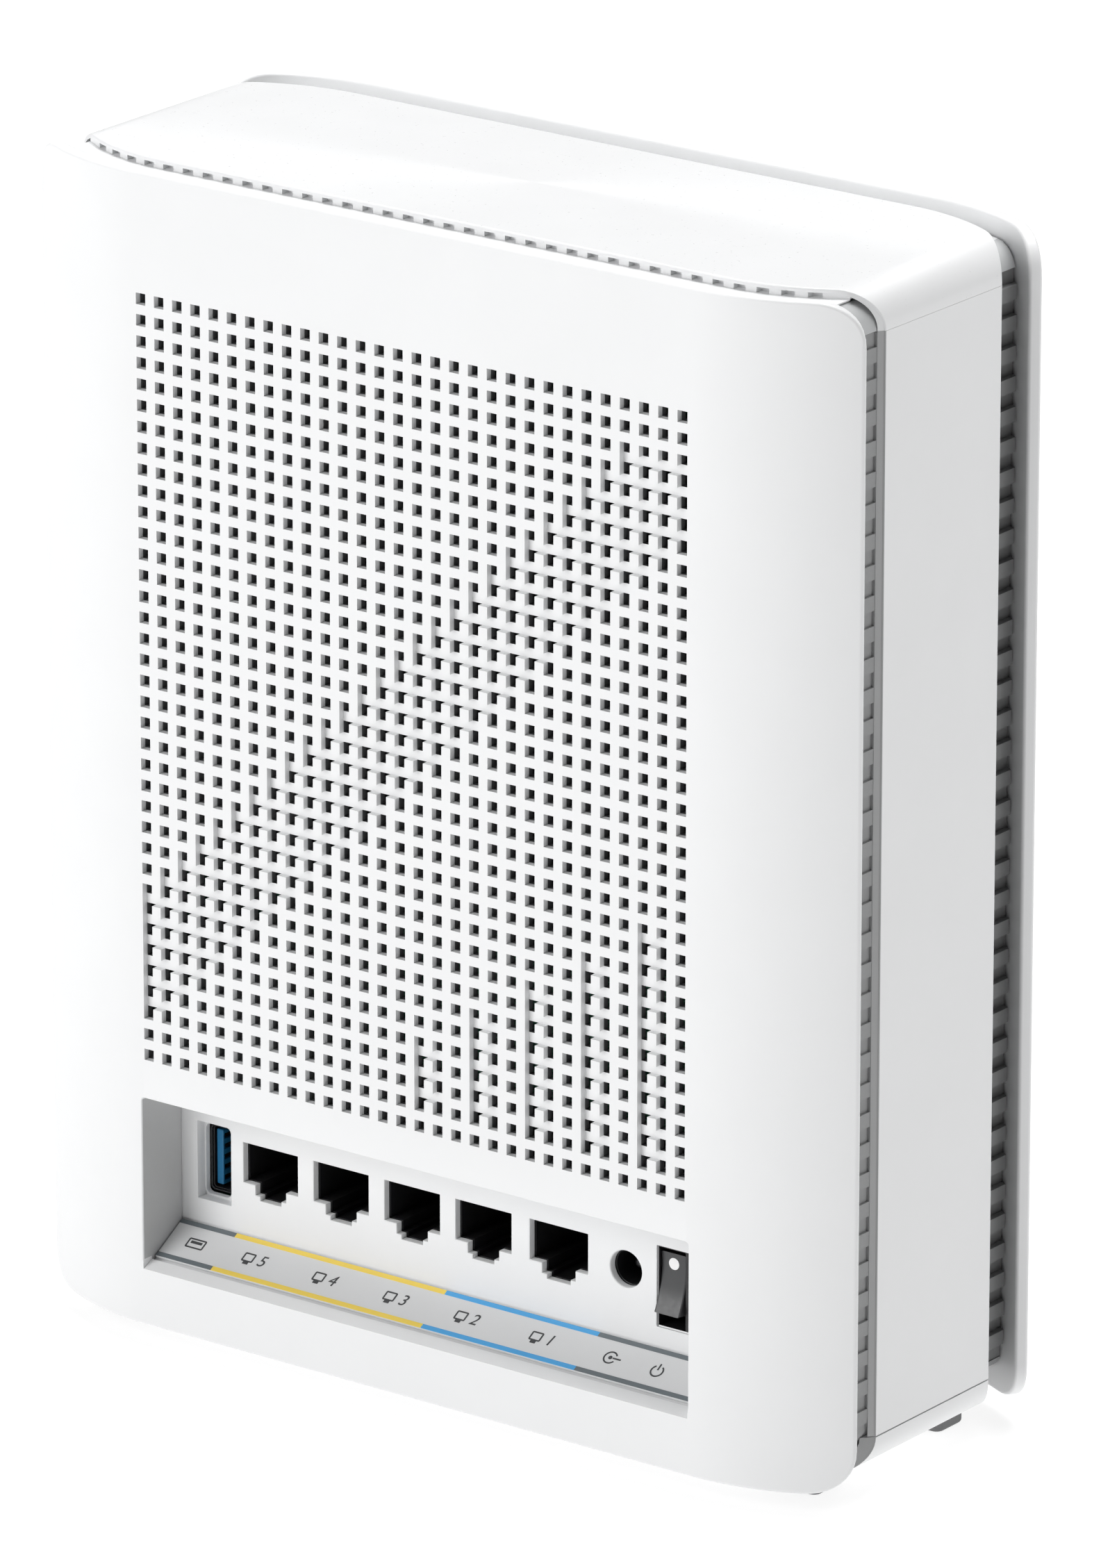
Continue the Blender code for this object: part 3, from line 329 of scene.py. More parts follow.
# Greys on the rims of the side walls and the base cover: painted shade of the gaps next to the
# plates.
SIDE_RIM_PAINTED_SHADE = look("shell_rim_painted_shade", (0.43, 0.433, 0.435), 0.5, 0.02)
BASE_RIM_PAINTED_SHADE = look("base_rim_painted_shade", (0.36, 0.363, 0.365), 0.5, 0.02)
FILM = look("label_film", (0.76, 0.765, 0.77), 0.38, 0.01, grain=3000.0, bump=0.01)
BAND_GREY = look("band_ink_grey", (0.16, 0.185, 0.2), 0.45)
BAND_YELLOW = look("band_ink_yellow", (0.97, 0.72, 0.12), 0.45)
BAND_BLUE = look("band_ink_blue", (0.09, 0.42, 0.82), 0.45)
INK = look("print_ink", (0.06, 0.062, 0.065), 0.5, 0.1)
WHITE_INK = look("white_print_ink", (0.9, 0.9, 0.9), 0.45)
BLACK = look("black_plastic", (0.012, 0.012, 0.013), 0.35, 0.15)
ROCKER = look("rocker_plastic", (0.05, 0.051, 0.053), 0.34, 0.01, bump=0.0)
# Switch bezel strips: the sill is a painted highlight of the lit lower edge, the side is painted
# shade.
BEZEL_SILL_PAINTED_LIGHT = look("bezel_sill_painted_light", (0.8, 0.805, 0.81), 0.35, 0.02)
BEZEL_SIDE_PAINTED_SHADE = look("bezel_side_painted_shade", (0.26, 0.263, 0.266), 0.35, 0.03)
BLUE = look("usb_blue_plastic", (0.012, 0.17, 0.36), 0.38, 0.05)
STEEL = look("plated_steel", (0.62, 0.63, 0.64), 0.28, 0.04, stretch=(1, 1, 14), metallic=1.0)
# Dark steel for the USB socket's shell and contacts; on the power inlet's pin the darkness is
# painted shade of its deep bore.
DARK_STEEL_AND_PAINTED_SHADE = look("dark_steel_and_painted_shade", (0.045, 0.046, 0.048), 0.3, 0.05, metallic=0.6)
GOLD = look("gold_contact", (0.83, 0.62, 0.26), 0.25, 0.04, metallic=1.0)
RUBBER = look("foot_rubber", (0.17, 0.172, 0.175), 0.8, 0.08, grain=2200.0, bump=0.05)
SINK = look("anodised_aluminium", (0.10, 0.10, 0.105), 0.45, 0.05, stretch=(8, 8, 1), metallic=0.8)
PAD = look("thermal_pad_gel", (0.30, 0.36, 0.52), 0.75, 0.08, bump=0.06)
FRAME_PLASTIC = look("frame_plastic", (0.05, 0.05, 0.052), 0.55, 0.08, bump=0.05)
LENS = look("light_lens", (0.85, 0.88, 0.90), 0.18, 0.01, transmission_weight=0.4, ior=1.49)
COAX = look("coax_jacket", (0.02, 0.02, 0.021), 0.4, 0.2)
BOARD = board_look("solder_mask", (0.012, 0.09, 0.05), (0.05, 0.22, 0.12))
BUTTON = look("button_plastic", (0.84, 0.845, 0.85), 0.4, 0.01)


# ---- mesh helpers
def point(axis, a, b, along):
    """The point that far along the axis, with a and b on the other two axes in X, Y, Z order."""
    place = [a, b]
    place.insert("XYZ".index(axis), along)
    return place


def add_loft(mesh, loops, ring=False):
    """Adds the closed body through loops of equal length; a ring joins its last to its first."""
    rows = [[mesh.verts.new(Vector(p) * MM) for p in loop] for loop in loops]
    pairs = list(zip(rows, rows[1:]))
    faces = []
    if ring:
        pairs.append((rows[-1], rows[0]))
    else:
        faces = [mesh.faces.new(rows[0]), mesh.faces.new(rows[-1])]
    for lower, upper in pairs:
        for i in range(len(lower)):
            j = (i + 1) % len(lower)
            faces.append(mesh.faces.new((lower[i], lower[j], upper[j], upper[i])))
    bmesh.ops.recalc_face_normals(mesh, faces=faces)


def quarter(radius, steps):
    """(inset, depth) pairs round an edge, from wall to face. A negative radius flares outwards."""
    if not radius:
        return [(0.0, 0.0)]
    turns = [math.pi / 2 * i / steps for i in range(steps + 1)]
    return [(radius * (1 - math.cos(t)), abs(radius) * (1 - math.sin(t))) for t in turns]


def solid(low, high, r_low=0.0, r_high=0.0, steps=3):
    """(inset, position) pairs for a body with rounded end edges."""
    start = [(inset, low + depth) for inset, depth in reversed(quarter(r_low, steps))]
    return start + [(inset, high - depth) for inset, depth in quarter(r_high, steps)]


def opening(inner, face, radius=OPENING_RIM):
    """(inset, position) pairs for a cutter that leaves a rounded rim at face."""
    way = 1 if face > inner else -1
    curve = [(inset, face - way * depth) for inset, depth in quarter(-radius, 3)]
    return [(0.0, inner), *curve, (-radius, face + way * REACH)]


def rounded(centre, size, radius=0.0, steps=5):
    """An outline function: a rectangle with rounded corners, shrunk by an inset."""

    def outline(inset):
        half_a, half_b = size[0] / 2 - inset, size[1] / 2 - inset
        r = max(radius - inset, 0.0) if radius else 0.0
        count = steps if radius else 0
        points = []
        for quadrant, (side_a, side_b) in enumerate(((1, 1), (-1, 1), (-1, -1), (1, -1))):
            for i in range(count + 1):
                turn = math.pi / 2 * (quadrant + (i / count if count else 0))
                a = centre[0] + side_a * (half_a - r) + r * math.cos(turn)
                points.append((a, centre[1] + side_b * (half_b - r) + r * math.sin(turn)))
        return points

    return outline


def between(low, high, radius=0.0, steps=5):
    """An outline function: a rounded rectangle from its lower to its upper corner."""
    centre = ((low[0] + high[0]) / 2, (low[1] + high[1]) / 2)
    return rounded(centre, (high[0] - low[0], high[1] - low[1]), radius, steps)


def disc(centre, radius, sides=48):
    """An outline function: a circle, shrunk by an inset."""

    def outline(inset):
        turns = [2 * math.pi * i / sides for i in range(sides)]
        r = radius - inset
        return [(centre[0] + r * math.cos(t), centre[1] + r * math.sin(t)) for t in turns]

    return outline


def fixed(points):
    """An outline function for a shape that keeps its size."""
    return lambda inset: points


def lofted(loops, ring=False):
    mesh = bmesh.new()
    add_loft(mesh, loops, ring)
    return mesh


def add_shape(mesh, outline, axis, profile):
    loops = []
    for inset, along in profile:
        loops.append([point(axis, a, b, along) for a, b in outline(inset)])
    add_loft(mesh, loops)


def shapes(*bodies):
    """A bmesh that holds several (outline, axis, profile) bodies."""
    mesh = bmesh.new()
    for outline, axis, profile in bodies:
        add_shape(mesh, outline, axis, profile)
    return mesh


def new_object(name, data):
    made = bpy.data.objects.new(name, data)
    bpy.context.scene.collection.objects.link(made)
    return made


def as_object(name, mesh):
    data = bpy.data.meshes.new(name)
    mesh.to_mesh(data)
    mesh.free()
    return new_object(name, data)


def evaluated_mesh(obj):
    graph = bpy.context.evaluated_depsgraph_get()
    return bpy.data.meshes.new_from_object(obj.evaluated_get(graph))


def bake(obj):
    """Applies the modifiers of an object."""
    data = evaluated_mesh(obj)
    obj.modifiers.clear()
    old = obj.data
    obj.data = data
    bpy.data.meshes.remove(old)
    data.name = obj.name


def combine(obj, mesh, operation="DIFFERENCE", overlapping=False):
    tool = as_object("tool", mesh)
    step = obj.modifiers.new("step", "BOOLEAN")
    step.operation = operation
    step.solver = "EXACT"
    step.use_self = overlapping
    step.object = tool
    bake(obj)
    bpy.data.objects.remove(tool)


def work(obj, *bodies, **options):
    """Cuts bodies out of an object, or joins or intersects them, as options say."""
    combine(obj, shapes(*bodies), **options)


def settle(obj, material, nodes=(), body=BODY):
    """Gives a piece its shading, finish and body, and hides the CAD nodes it stands for."""
    obj.data.materials.clear()
    obj.data.materials.append(material)
    obj.data.shade_smooth()
    obj.data.set_sharp_from_angle(angle=SHARP_ANGLE)
    weighted = obj.modifiers.new("weighted", "WEIGHTED_NORMAL")
    weighted.keep_sharp = True
    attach(obj, body)
    if nodes:
        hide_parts(*nodes)


def piece(name, material, slot, nodes, *bodies, body=BODY):
    settle(as_object(name, shapes(*bodies)), material, nodes, body)


def block(name, node, radius, *ends):
    """A rounded block along Y that fills a CAD node's box."""
    low, high = cad(node)
    outline = rounded(*seen_along_y(low, high), radius, 3)
    return as_object(name, shapes((outline, "Y", solid(low.y, high.y, *ends))))


def turned_mesh(profile, sides=40):
    """A bmesh turned round Z from (radius, z) pairs, capped at both ends."""
    loops = []
    for radius, z in profile:
        loops.append([(*spot, z) for spot in disc((0, 0), radius, sides)(0)])
    return lofted(loops)


# ---- outer plates
def plate_frame(x):
    """Outer face point (x, y) and outward normal of the plate at a given x, for the +Y side."""
    over = abs(x) - FLAT_HALF
    if over <= 0:
        return Vector((x, PLATE_FACE_Y)), Vector((0, 1))
    normal = Vector((math.copysign(over, x), math.sqrt(PLATE_ARC_R**2 - over**2))) / PLATE_ARC_R
    centre = Vector((math.copysign(FLAT_HALF, x), PLATE_FACE_Y - PLATE_ARC_R))
    return centre + normal * PLATE_ARC_R, normal


def plate_stations(half, radius):
    """(x, drop) pairs from x = half to the flat; drop is how far the corner lowers the edge."""
    corner = []
    for i in range(CORNER_STEPS + 1):
        turn = math.pi / 2 * i / CORNER_STEPS
        across = math.cos(turn) ** (2 / PLATE_CORNER_POWER)
        up = math.sin(turn) ** (2 / PLATE_CORNER_POWER)
        corner.append((half - radius + radius * across, radius * (1 - up)))
    start = half - radius
    steps = range(ARC_STEPS - 1, -1, -1)
    return corner + [(FLAT_HALF + (start - FLAT_HALF) * i / ARC_STEPS, 0.0) for i in steps]


def make_plate(name, side, x_lines=(), z_lines=(), level_of=None):
    """The curved plate. Loops run round its outline, from the outer face to the inner.

    The flat middle is a grid of cells; x_lines run from +X to -X and z_lines upwards.
    level_of(k, j) is how far the outer face is set back in a cell, and PLATE_T for a hole.
    """
    low, high = cad("rear_panel" if side > 0 else "front_panel")
    mesh = bmesh.new()
    steps = list(reversed(quarter(PLATE_EDGE_R, 4)))
    steps += [(inset, PLATE_T - depth) for inset, depth in quarter(PLATE_EDGE_R, 4)]
    loops = []
    for inset, depth in steps:
        right = plate_stations(high.x - inset, PLATE_CORNER_R - inset)
        across = right + [(x, 0.0) for x in x_lines] + [(-x, drop) for x, drop in reversed(right)]
        top = [(x, high.z - inset - drop) for x, drop in across]
        bottom = [(x, low.z + inset + drop) for x, drop in reversed(across)]
        loop = []
        for x, z in top + bottom:
            face, normal = plate_frame(x)
            place = face - normal * depth
            loop.append(mesh.verts.new(Vector((place.x, side * place.y, z)) * MM))
        loops.append(loop)
    count = len(loops[0])
    for lower, upper in zip(loops, loops[1:]):
        for i in range(count):
            j = (i + 1) % count
            mesh.faces.new((lower[i], lower[j], upper[j], upper[i]))
    first = CORNER_STEPS + ARC_STEPS
    last = first + len(x_lines) + 1
    xs = [FLAT_HALF, *x_lines, -FLAT_HALF]
    spots = {}

    def spot(k, j, depth):
        """The grid's vertex on line k: j = 0 is the lower edge and the highest j the upper edge."""
        outer = 0 if depth == 0 else -1
        if j == 0:
            return loops[outer][count - 1 - first - k]
        if j == len(z_lines) + 1:
            return loops[outer][first + k]
        if (k, j, depth) not in spots:
            y = high.y if side > 0 else low.y
            place = Vector((xs[k], y - side * depth, z_lines[j - 1]))
            spots[k, j, depth] = mesh.verts.new(place * MM)
        return spots[k, j, depth]

    for loop, depth in ((loops[0], 0), (loops[-1], PLATE_T)):
        for i in range(last + first):
            if first <= i < last:
                continue
            corners = [loop[i], loop[i + 1], loop[count - 2 - i], loop[count - 1 - i]]
            if i == first - 1:
                corners[2:2] = [spot(0, j, depth) for j in range(len(z_lines), 0, -1)]
            if i == last:
                corners += [spot(last - first, j, depth) for j in range(1, len(z_lines) + 1)]
            mesh.faces.new(corners)
    add_grid(mesh, spot, len(x_lines) + 1, len(z_lines) + 1, level_of or (lambda k, j: 0))
    bmesh.ops.recalc_face_normals(mesh, faces=mesh.faces)
    return as_object(name, mesh)


def add_grid(mesh, spot, wide, tall, level_of):
    """Faces of a grid of wide x tall cells, with walls between cells at different depths."""
    levels = {(k, j): level_of(k, j) for k in range(wide) for j in range(tall)}
    for (k, j), level in levels.items():
        if level == PLATE_T:
            continue
        for depth in (level, PLATE_T):
            mesh.faces.new([spot(k + a, j + b, depth) for a, b in ((0, 0), (1, 0), (1, 1), (0, 1))])

    def upright(k, j, shallow, deep):
        """Vertices of one grid point between two depths, at the depths that its cells use.

        The walls of a hole are also divided where their inner part starts, which is painted dark as
        painted shade.
        """
        used = {levels.get((k - a, j - b)) for a in (0, 1) for b in (0, 1)}
        if PLATE_T in used:
            used.add(GROOVE_DEPTH)
        return [spot(k, j, depth) for depth in sorted(used - {None}) if shallow <= depth <= deep]

    for (k, j), level in levels.items():
        for other in ((k + 1, j), (k, j + 1)):
            if levels.get(other, level) == level:
                continue
            shallow, deep = sorted((level, levels[other]))
            one, two = upright(*other, shallow, deep), upright(k + 1, j + 1, shallow, deep)
            for i in range(len(one) - 1):
                mesh.faces.new((one[i], one[i + 1], two[i + 1], two[i]))


def column_x(column):
    """Columns count from the +X side."""
    return ((COLUMNS - 1) / 2 - column) * COLUMN_PITCH


def row_z(row):
    """Rows count from the top."""
    return GRILLE_CENTRE_Z + ((ROWS - 1) / 2 - row) * ROW_PITCH


def groove_cells():
    """Grid cells of the shallow grooves: each lies in the gap under one row of holes."""
    runs = []
    for row in range(2, ROWS - 1):
        runs.append((row, max(BAND_START - row, 0), min(BAND_END - row, COLUMNS - 1)))
    for first, height in BARS:
        for row in range(BAR_BASE_ROW - height, BAR_BASE_ROW):
            runs.append((row, first, first + 1))
    cells = set()
    for row, first, last in runs:
        if last > first:
            cells |= {(k, 2 * (ROWS - 1 - row)) for k in range(2 * first + 1, 2 * last + 2)}
    return cells


def add_recess(plate, inner_y, back_y, half, top):
    """Joins the walls, ceiling and sloping floor of the port recess to the plate's inside."""

    def side_view(back, front, wall):
        bottom = [(y, FLOOR_FRONT_Z + FLOOR_SLOPE * (inner_y - y) - wall) for y in (back, front)]
        return fixed([*bottom, (front, top + wall), (back, top + wall)])

    outer = half + RECESS_WALL
    wall = (side_view(back_y, inner_y, RECESS_WALL), "X", solid(-outer, outer))
    tub = as_object("tub", shapes(wall))
    work(tub, (side_view(back_y - 2, inner_y + REACH, 0), "X", solid(-half, half)))
    both = bmesh.new()
    both.from_mesh(plate.data)
    both.from_mesh(tub.data)
    both.to_mesh(plate.data)
    both.free()
    bpy.data.objects.remove(tub)


def make_rear_plate():
    grooves = groove_cells()

    def level_of(k, j):
        if k % 2 and j % 2:
            return PLATE_T
        return GROOVE_DEPTH if (k, j) in grooves else 0

    x_lines = [column_x(c) + side * HOLE / 2 for c in range(COLUMNS) for side in (1, -1)]
    z_lines = [row_z(r) + side * HOLE / 2 for r in reversed(range(ROWS)) for side in (-1, 1)]
    plate = make_plate("rear_plate", 1, x_lines, z_lines, level_of)
    inner_y = PLATE_FACE_Y - PLATE_T
    panel_high = cad("io_panel")[1]
    half = panel_high.x - RECESS_WALL
    top = panel_high.z - RECESS_WALL
    sill = FLOOR_FRONT_Z + WINDOW_LIP
    window = rounded((0, (sill + top) / 2), (2 * half, top - sill), WINDOW_CORNER_R)
    work(plate, (window, "Y", opening(inner_y - REACH, PLATE_FACE_Y, WINDOW_RIM)))
    start_y, end_y = inner_y - REACH / 2, PLATE_FACE_Y + REACH
    slope = [(y, sill - SILL_SLOPE * (y - inner_y)) for y in (start_y, end_y)]
    slope += [(end_y, sill + REACH), (start_y, sill + REACH)]
    work(plate, (fixed(slope), "X", solid(-half, half)))
    edges = plate.modifiers.new("edges", "BEVEL")
    edges.width = HOLE_BEVEL * MM
    edges.segments = 1
    edges.angle_limit = math.radians(40)
    bake(plate)
    add_recess(plate, inner_y, panel_high.y + RECESS_GAP, half, top)
    settle(plate, WHITE, ["rear_panel"])
    for material in (GRILLE_PAINTED_SHADE, RECESS_SHADE, SILL_PAINTED_LIGHT):
        plate.data.materials.append(material)
    lowest, highest = z_lines[0] * MM, z_lines[-1] * MM
    for polygon in plate.data.polygons:
        x, y, z = polygon.center
        in_hole = inner_y * MM < y < (PLATE_FACE_Y - GROOVE_DEPTH - HOLE_BEVEL) * MM
        in_hole = in_hole and abs(x) < FLAT_HALF * MM and lowest <= z <= highest
        # The inner half of each hole's side walls gets the painted shade.
        if in_hole and abs(polygon.normal.y) < 0.1:
            polygon.material_index = 1
        in_recess = z < lowest and y < (PLATE_FACE_Y - 1) * MM
        in_recess = in_recess and abs(abs(x) - half * MM) < 0.3 * MM
        # The recess's side walls get the grey painted shade.
        if in_recess and abs(polygon.normal.x) > 0.9:
            polygon.material_index = 2
        on_sill = inner_y * MM < y < PLATE_FACE_Y * MM and z < (sill + 0.1) * MM
        # The sill gets the brighter painted light.
        if on_sill and abs(x) < half * MM and polygon.normal.z > 0.7:
            polygon.material_index = 3


def make_front_plate():
    plate = make_plate("front_plate", -1)
    low, high = cad("light_pipe")
    face_y = cad("front_panel")[0].y
    centre, size = seen_along_y(low, high)
    slit = rounded(centre, (size[0] + LENS_GAP, size[1] + LENS_GAP), 0.9)
    work(plate, (slit, "Y", opening(face_y + PLATE_T + REACH, face_y, 0.15)))
    settle(plate, WHITE, ["front_panel"])
    lens = (rounded(centre, size, 0.75), "Y", solid(low.y, high.y, 0.3, 0))
    piece("status_light", LENS, "light_lens", ["light_pipe"], lens)


# ---- central shell
def shell_edge_y(x):
    """How far the shell's rims are from the middle of its depth."""
    over = abs(x) - FLAT_HALF
    if over <= 0:
        return SHELL_MID_Y
    return SHELL_MID_Y - SHELL_ARC_R + math.sqrt(SHELL_ARC_R**2 - over**2)


def shell_band(path, wall, crown=None):
    """A wall along a path of (x, z, normal x, normal z) that ends at the shell's curved rims.

    Where it is level its thickness is crown.
    """
    loops = []
    for x, z, nx, nz in path:
        loop = []
        rim = shell_edge_y(x)
        edge = [(inset, depth) for inset, depth in reversed(quarter(SHELL_EDGE_R, 3))]
        thick = wall + ((crown or wall) - wall) * abs(nz)
        inner_rim = shell_edge_y(x - nx * thick)
        for side in (-1, 1):
            corner = [(side * (rim - inset), depth) for inset, depth in edge]
            corner.append((side * inner_rim, thick))
            loop += corner if side > 0 else corner[::-1]
        loops.append([(x - nx * depth, y, z - nz * depth) for y, depth in loop])
    return lofted(loops)


def corner_path(half, edge_z, radius, up):
    """Path round both rounded corners and the level between them; up is 1 for the top, -1 below."""
    centre_x, centre_z = half - radius, edge_z - up * radius
    right = []
    for i in range(CORNER_TURNS + 1):
        turn = math.pi / 2 * i / CORNER_TURNS
        nx, nz = math.cos(turn), up * math.sin(turn)
        right.append((centre_x + radius * nx, centre_z + radius * nz, nx, nz))
    for i in range(1, LEVEL_STEPS + 1):
        x = centre_x + (FLAT_HALF - centre_x) * i / LEVEL_STEPS
        right.append((x, edge_z, 0.0, float(up)))
    return right + [(-x, z, -nx, nz) for x, z, nx, nz in reversed(right)]


def paint_rim(obj, material):
    """Gives the faces that look along Y another material, a grey that is painted shade of the gap
    next to the plates.
    """
    obj.data.materials.append(material)
    for polygon in obj.data.polygons:
        if abs(polygon.normal.y) > 0.5:
            polygon.material_index = 1


def make_shell():
    cap_low, cap_high = cad("top_cap")
    path = corner_path(cap_high.x, cap_high.z, CAP_CORNER_R, 1)
    cap = as_object("shell_top", shell_band(path, SHELL_WALL, CAP_CROWN))
    settle(cap, TOP_WHITE, ["top_cap"])
    for word, side in (("left", 1), ("right", -1)):
        low, high = cad(f"side_wall_{word}")
        outer = high.x if side > 0 else low.x
        top = cap_low.z - SEAM
        foot = low.z + BASE_SEAM
        path = [(outer, z, float(side), 0.0) for z in (foot, foot + 0.1, top - 0.1, top)]
        wall = as_object(f"shell_side_{word}", shell_band(path, SHELL_WALL))
        settle(wall, WHITE, [f"side_wall_{word}"])
        paint_rim(wall, SIDE_RIM_PAINTED_SHADE)
    low, high = cad("base_cover")
    path = corner_path(high.x, low.z, BASE_CORNER_R, -1)
    base = as_object("shell_base", shell_band(path, BASE_WALL))
    outlines = [disc((x, 0), radius) for x, radius in BASE_HOLES]
    for i in range(1, 5):
        spot = middle(f"base_screw_{i}")
        outlines.append(disc((spot.x, spot.y), BASE_SCREW_HOLE_R))
    for i in range(-3, 4):
        for side in (-1, 1):
            spot = (i * BASE_VENT_PITCH, side * BASE_VENT_PITCH)
            outlines.append(rounded(spot, BASE_VENT, 1.15))
    span = opening(low.z + 4, low.z)
    work(base, *((outline, "Z", span) for outline in outlines))
    settle(base, WHITE, ["base_cover"])
    paint_rim(base, BASE_RIM_PAINTED_SHADE)


def neck_outline(low, high, inset):
    """The neck's outline in X, Z, with one radius for its upper corners and one for its lower."""
    half = high.x - inset
    corners = (
        (1, high.z - inset, NECK_TOP_R - inset, 0),
        (-1, high.z - inset, NECK_TOP_R - inset, 1),
        (-1, low.z + inset, NECK_BOTTOM_R - inset, 2),
        (1, low.z + inset, NECK_BOTTOM_R - inset, 3),
    )
    points = []
    for side, edge_z, radius, quadrant in corners:
        centre_z = edge_z - radius if quadrant < 2 else edge_z + radius
        for i in range(NECK_TURNS + 1):
            turn = math.pi / 2 * (quadrant + i / NECK_TURNS)
            x = side * (half - radius) + radius * math.cos(turn)
            points.append((x, centre_z + radius * math.sin(turn)))
    return points


def neck_ring(low, high, y_low, y_high):
    """A rounded ring round Y with its outer face at the neck's outline."""
    loops = []
    for (a, b), (c, d) in zip(neck_outline(low, high, 0), neck_outline(low, high, NECK_WALL)):
        loops.append([(a, y_low, b), (a, y_high, b), (c, y_high, d), (c, y_low, d)])
    return lofted(loops, ring=True)


def plate_limit(gap, half):
    """Plan of everything inside a plate's inner face."""
    points = []
    for i in range(ARC_STEPS + 1):
        x = half - (half - FLAT_HALF) * i / ARC_STEPS
        face, normal = plate_frame(x)
        spot = face - normal * (PLATE_T + gap)
        points.append((spot.x, spot.y))
    return points + [(-x, y) for x, y in reversed(points)]


def make_neck(word, side):
    """The slotted neck, made towards +Y and mirrored for the front, with its row of fins."""
    node = f"vent_frame_{word}"
    low, high = cad(node)
    inset = -NECK_GROW if side > 0 else FRONT_NECK_INSET
    low.x += inset
    high.x -= inset
    high.z -= REAR_LEDGE_DROP if side > 0 else FRONT_NECK_INSET
    y_low, y_high = (low.y, high.y) if side > 0 else (-high.y, -low.y)
    y_high += NECK_OVERLAP
    limit = plate_limit(NECK_GAP, high.x + 3)
    limit += [(limit[-1][0] - 3, 0), (limit[0][0] + 3, 0)]
    vents = bmesh.new()
    reach = high.x
    start = shell_edge_y(reach) + VENT_INSET
    for i in range(SIDE_VENTS):
        z = SIDE_VENT_TOP - i * SIDE_VENT_PITCH
        for mirror in (-1, 1):
            outline = rounded(((start + y_high) / 2, z), (y_high - start, SIDE_VENT_H))
            span = sorted((mirror * (reach - SIDE_VENT_DEPTHS[word]), mirror * (reach + REACH)))
            add_shape(vents, outline, "X", solid(*span))
    part_z = cad("top_cap")[0].z - NECK_SPLIT
    top = ("top", (part_z, high.z + REACH), NECK_LIGHT)
    sides = ("sides", (low.z - REACH, part_z - NECK_SPLIT), NECK_GREY)
    for label, z_span, material in (top, sides):
        ring = as_object(f"neck_{word}_{label}", neck_ring(low, high, y_low, y_high))
        work(ring, (fixed(limit), "Z", solid(*z_span)), operation="INTERSECT")
        combine(ring, vents.copy())
        if side < 0:
            ring.data.transform(Matrix.Scale(-1, 4, Vector((0, 1, 0))))
            ring.data.flip_normals()
        settle(ring, material, [node])
    vents.free()
    make_vent_rail(word, side, high.z)


def make_vent_rail(word, side, ledge_z):
    """The row of fins that stands on the neck's ledge and carries the edge of the top cap."""
    vents, end = TOP_VENTS[word], RAIL_ENDS[word]
    half = (TOP_VENT_PITCH - TOP_VENT_W) / 2
    front = []
    for i in range(vents + 1):
        centre = (i - vents / 2) * TOP_VENT_PITCH
        left = centre - half if i else -end
        right = centre + half if i < vents else end
        corners = [(left, RAIL_SLOT_DEPTH), (left, RAIL_SET_BACK)]
        corners += [(right, RAIL_SET_BACK), (right, RAIL_SLOT_DEPTH)]
        front += [(x, side * (shell_edge_y(x) - depth)) for x, depth in corners]
    stations = [end * (2 * i / vents - 1) for i in range(vents + 1)]
    back = [(x, side * (shell_edge_y(x) - RAIL_T)) for x in stations]
    plan = front[1:-1] + back[::-1]
    sill = list(back)
    for x in reversed(stations):
        face, normal = plate_frame(x)
        sill.append((x, side * (face.y - PLATE_T / normal.y - LEDGE_GAP)))
    under_cap = cad("top_cap")[1].z - CAP_CROWN
    fins = (fixed(plan), "Z", solid(ledge_z - LEDGE_T, under_cap + RAIL_OVERLAP))
    ledge = (fixed(sill), "Z", solid(ledge_z - LEDGE_T, ledge_z + RAIL_OVERLAP))
    piece(f"vent_rail_{word}", WHITE, "neck_grey", (), fins, ledge)


# ---- ports
def jack_shape(centre_x, half, grow=0.0):
    """Stepped outline of a network socket's mouth."""

    def outline(inset):
        g = grow - inset
        right = [(half - back + g, z + way * g) for back, z, way in JACK_CORNERS]
        left = [(-a, b) for a, b in reversed(right)]
        return [(centre_x + a, b) for a, b in right + left]

    return outline


def make_io_panel():
    low, high = cad("io_panel")
    back, pocket_y = low.y - REACH, high.y - USB_POCKET_DEPTH
    _, size = seen_along_y(low, high)
    outline = rounded((0, (low.z + high.z) / 2), size)
    panel = as_object("port_panel", shapes((outline, "Y", solid(high.y - PANEL_T, high.y))))
    boss_size = [length + 2 * USB_BOSS_WALL for length in USB_POCKET]
    boss = rounded(USB_POCKET_CENTRE, boss_size, 1.0)
    work(panel, (boss, "Y", solid(low.y, high.y - USB_BOSS_SET_BACK)), operation="UNION")
    pocket = rounded(USB_POCKET_CENTRE, USB_POCKET, 0.2, 3)
    work(panel, (pocket, "Y", opening(pocket_y, high.y, 0.12)))
    bodies = []
    for i, half in enumerate(JACK_HALVES, 1):
        mouth = jack_shape(middle(f"network_jack_{i}").x, half)
        bodies.append((mouth, "Y", opening(back, high.y)))
    usb = middle("usb_shell")
    mouth = rounded((usb.x, usb.z), USB_MOUTH, USB_MOUTH_R, 8)
    bodies.append((mouth, "Y", opening(back, pocket_y, 0.15)))
    dc = middle("dc_jack_pin")
    bodies.append((disc((dc.x, dc.z), DC_MOUTH_R, 64), "Y", opening(back, high.y, 0.3)))
    bodies.append((between(*SWITCH_CUTOUT, 0.15, 2), "Y", opening(back, high.y, 0.12)))
    work(panel, *bodies)
    settle(panel, PANEL, ["io_panel"])


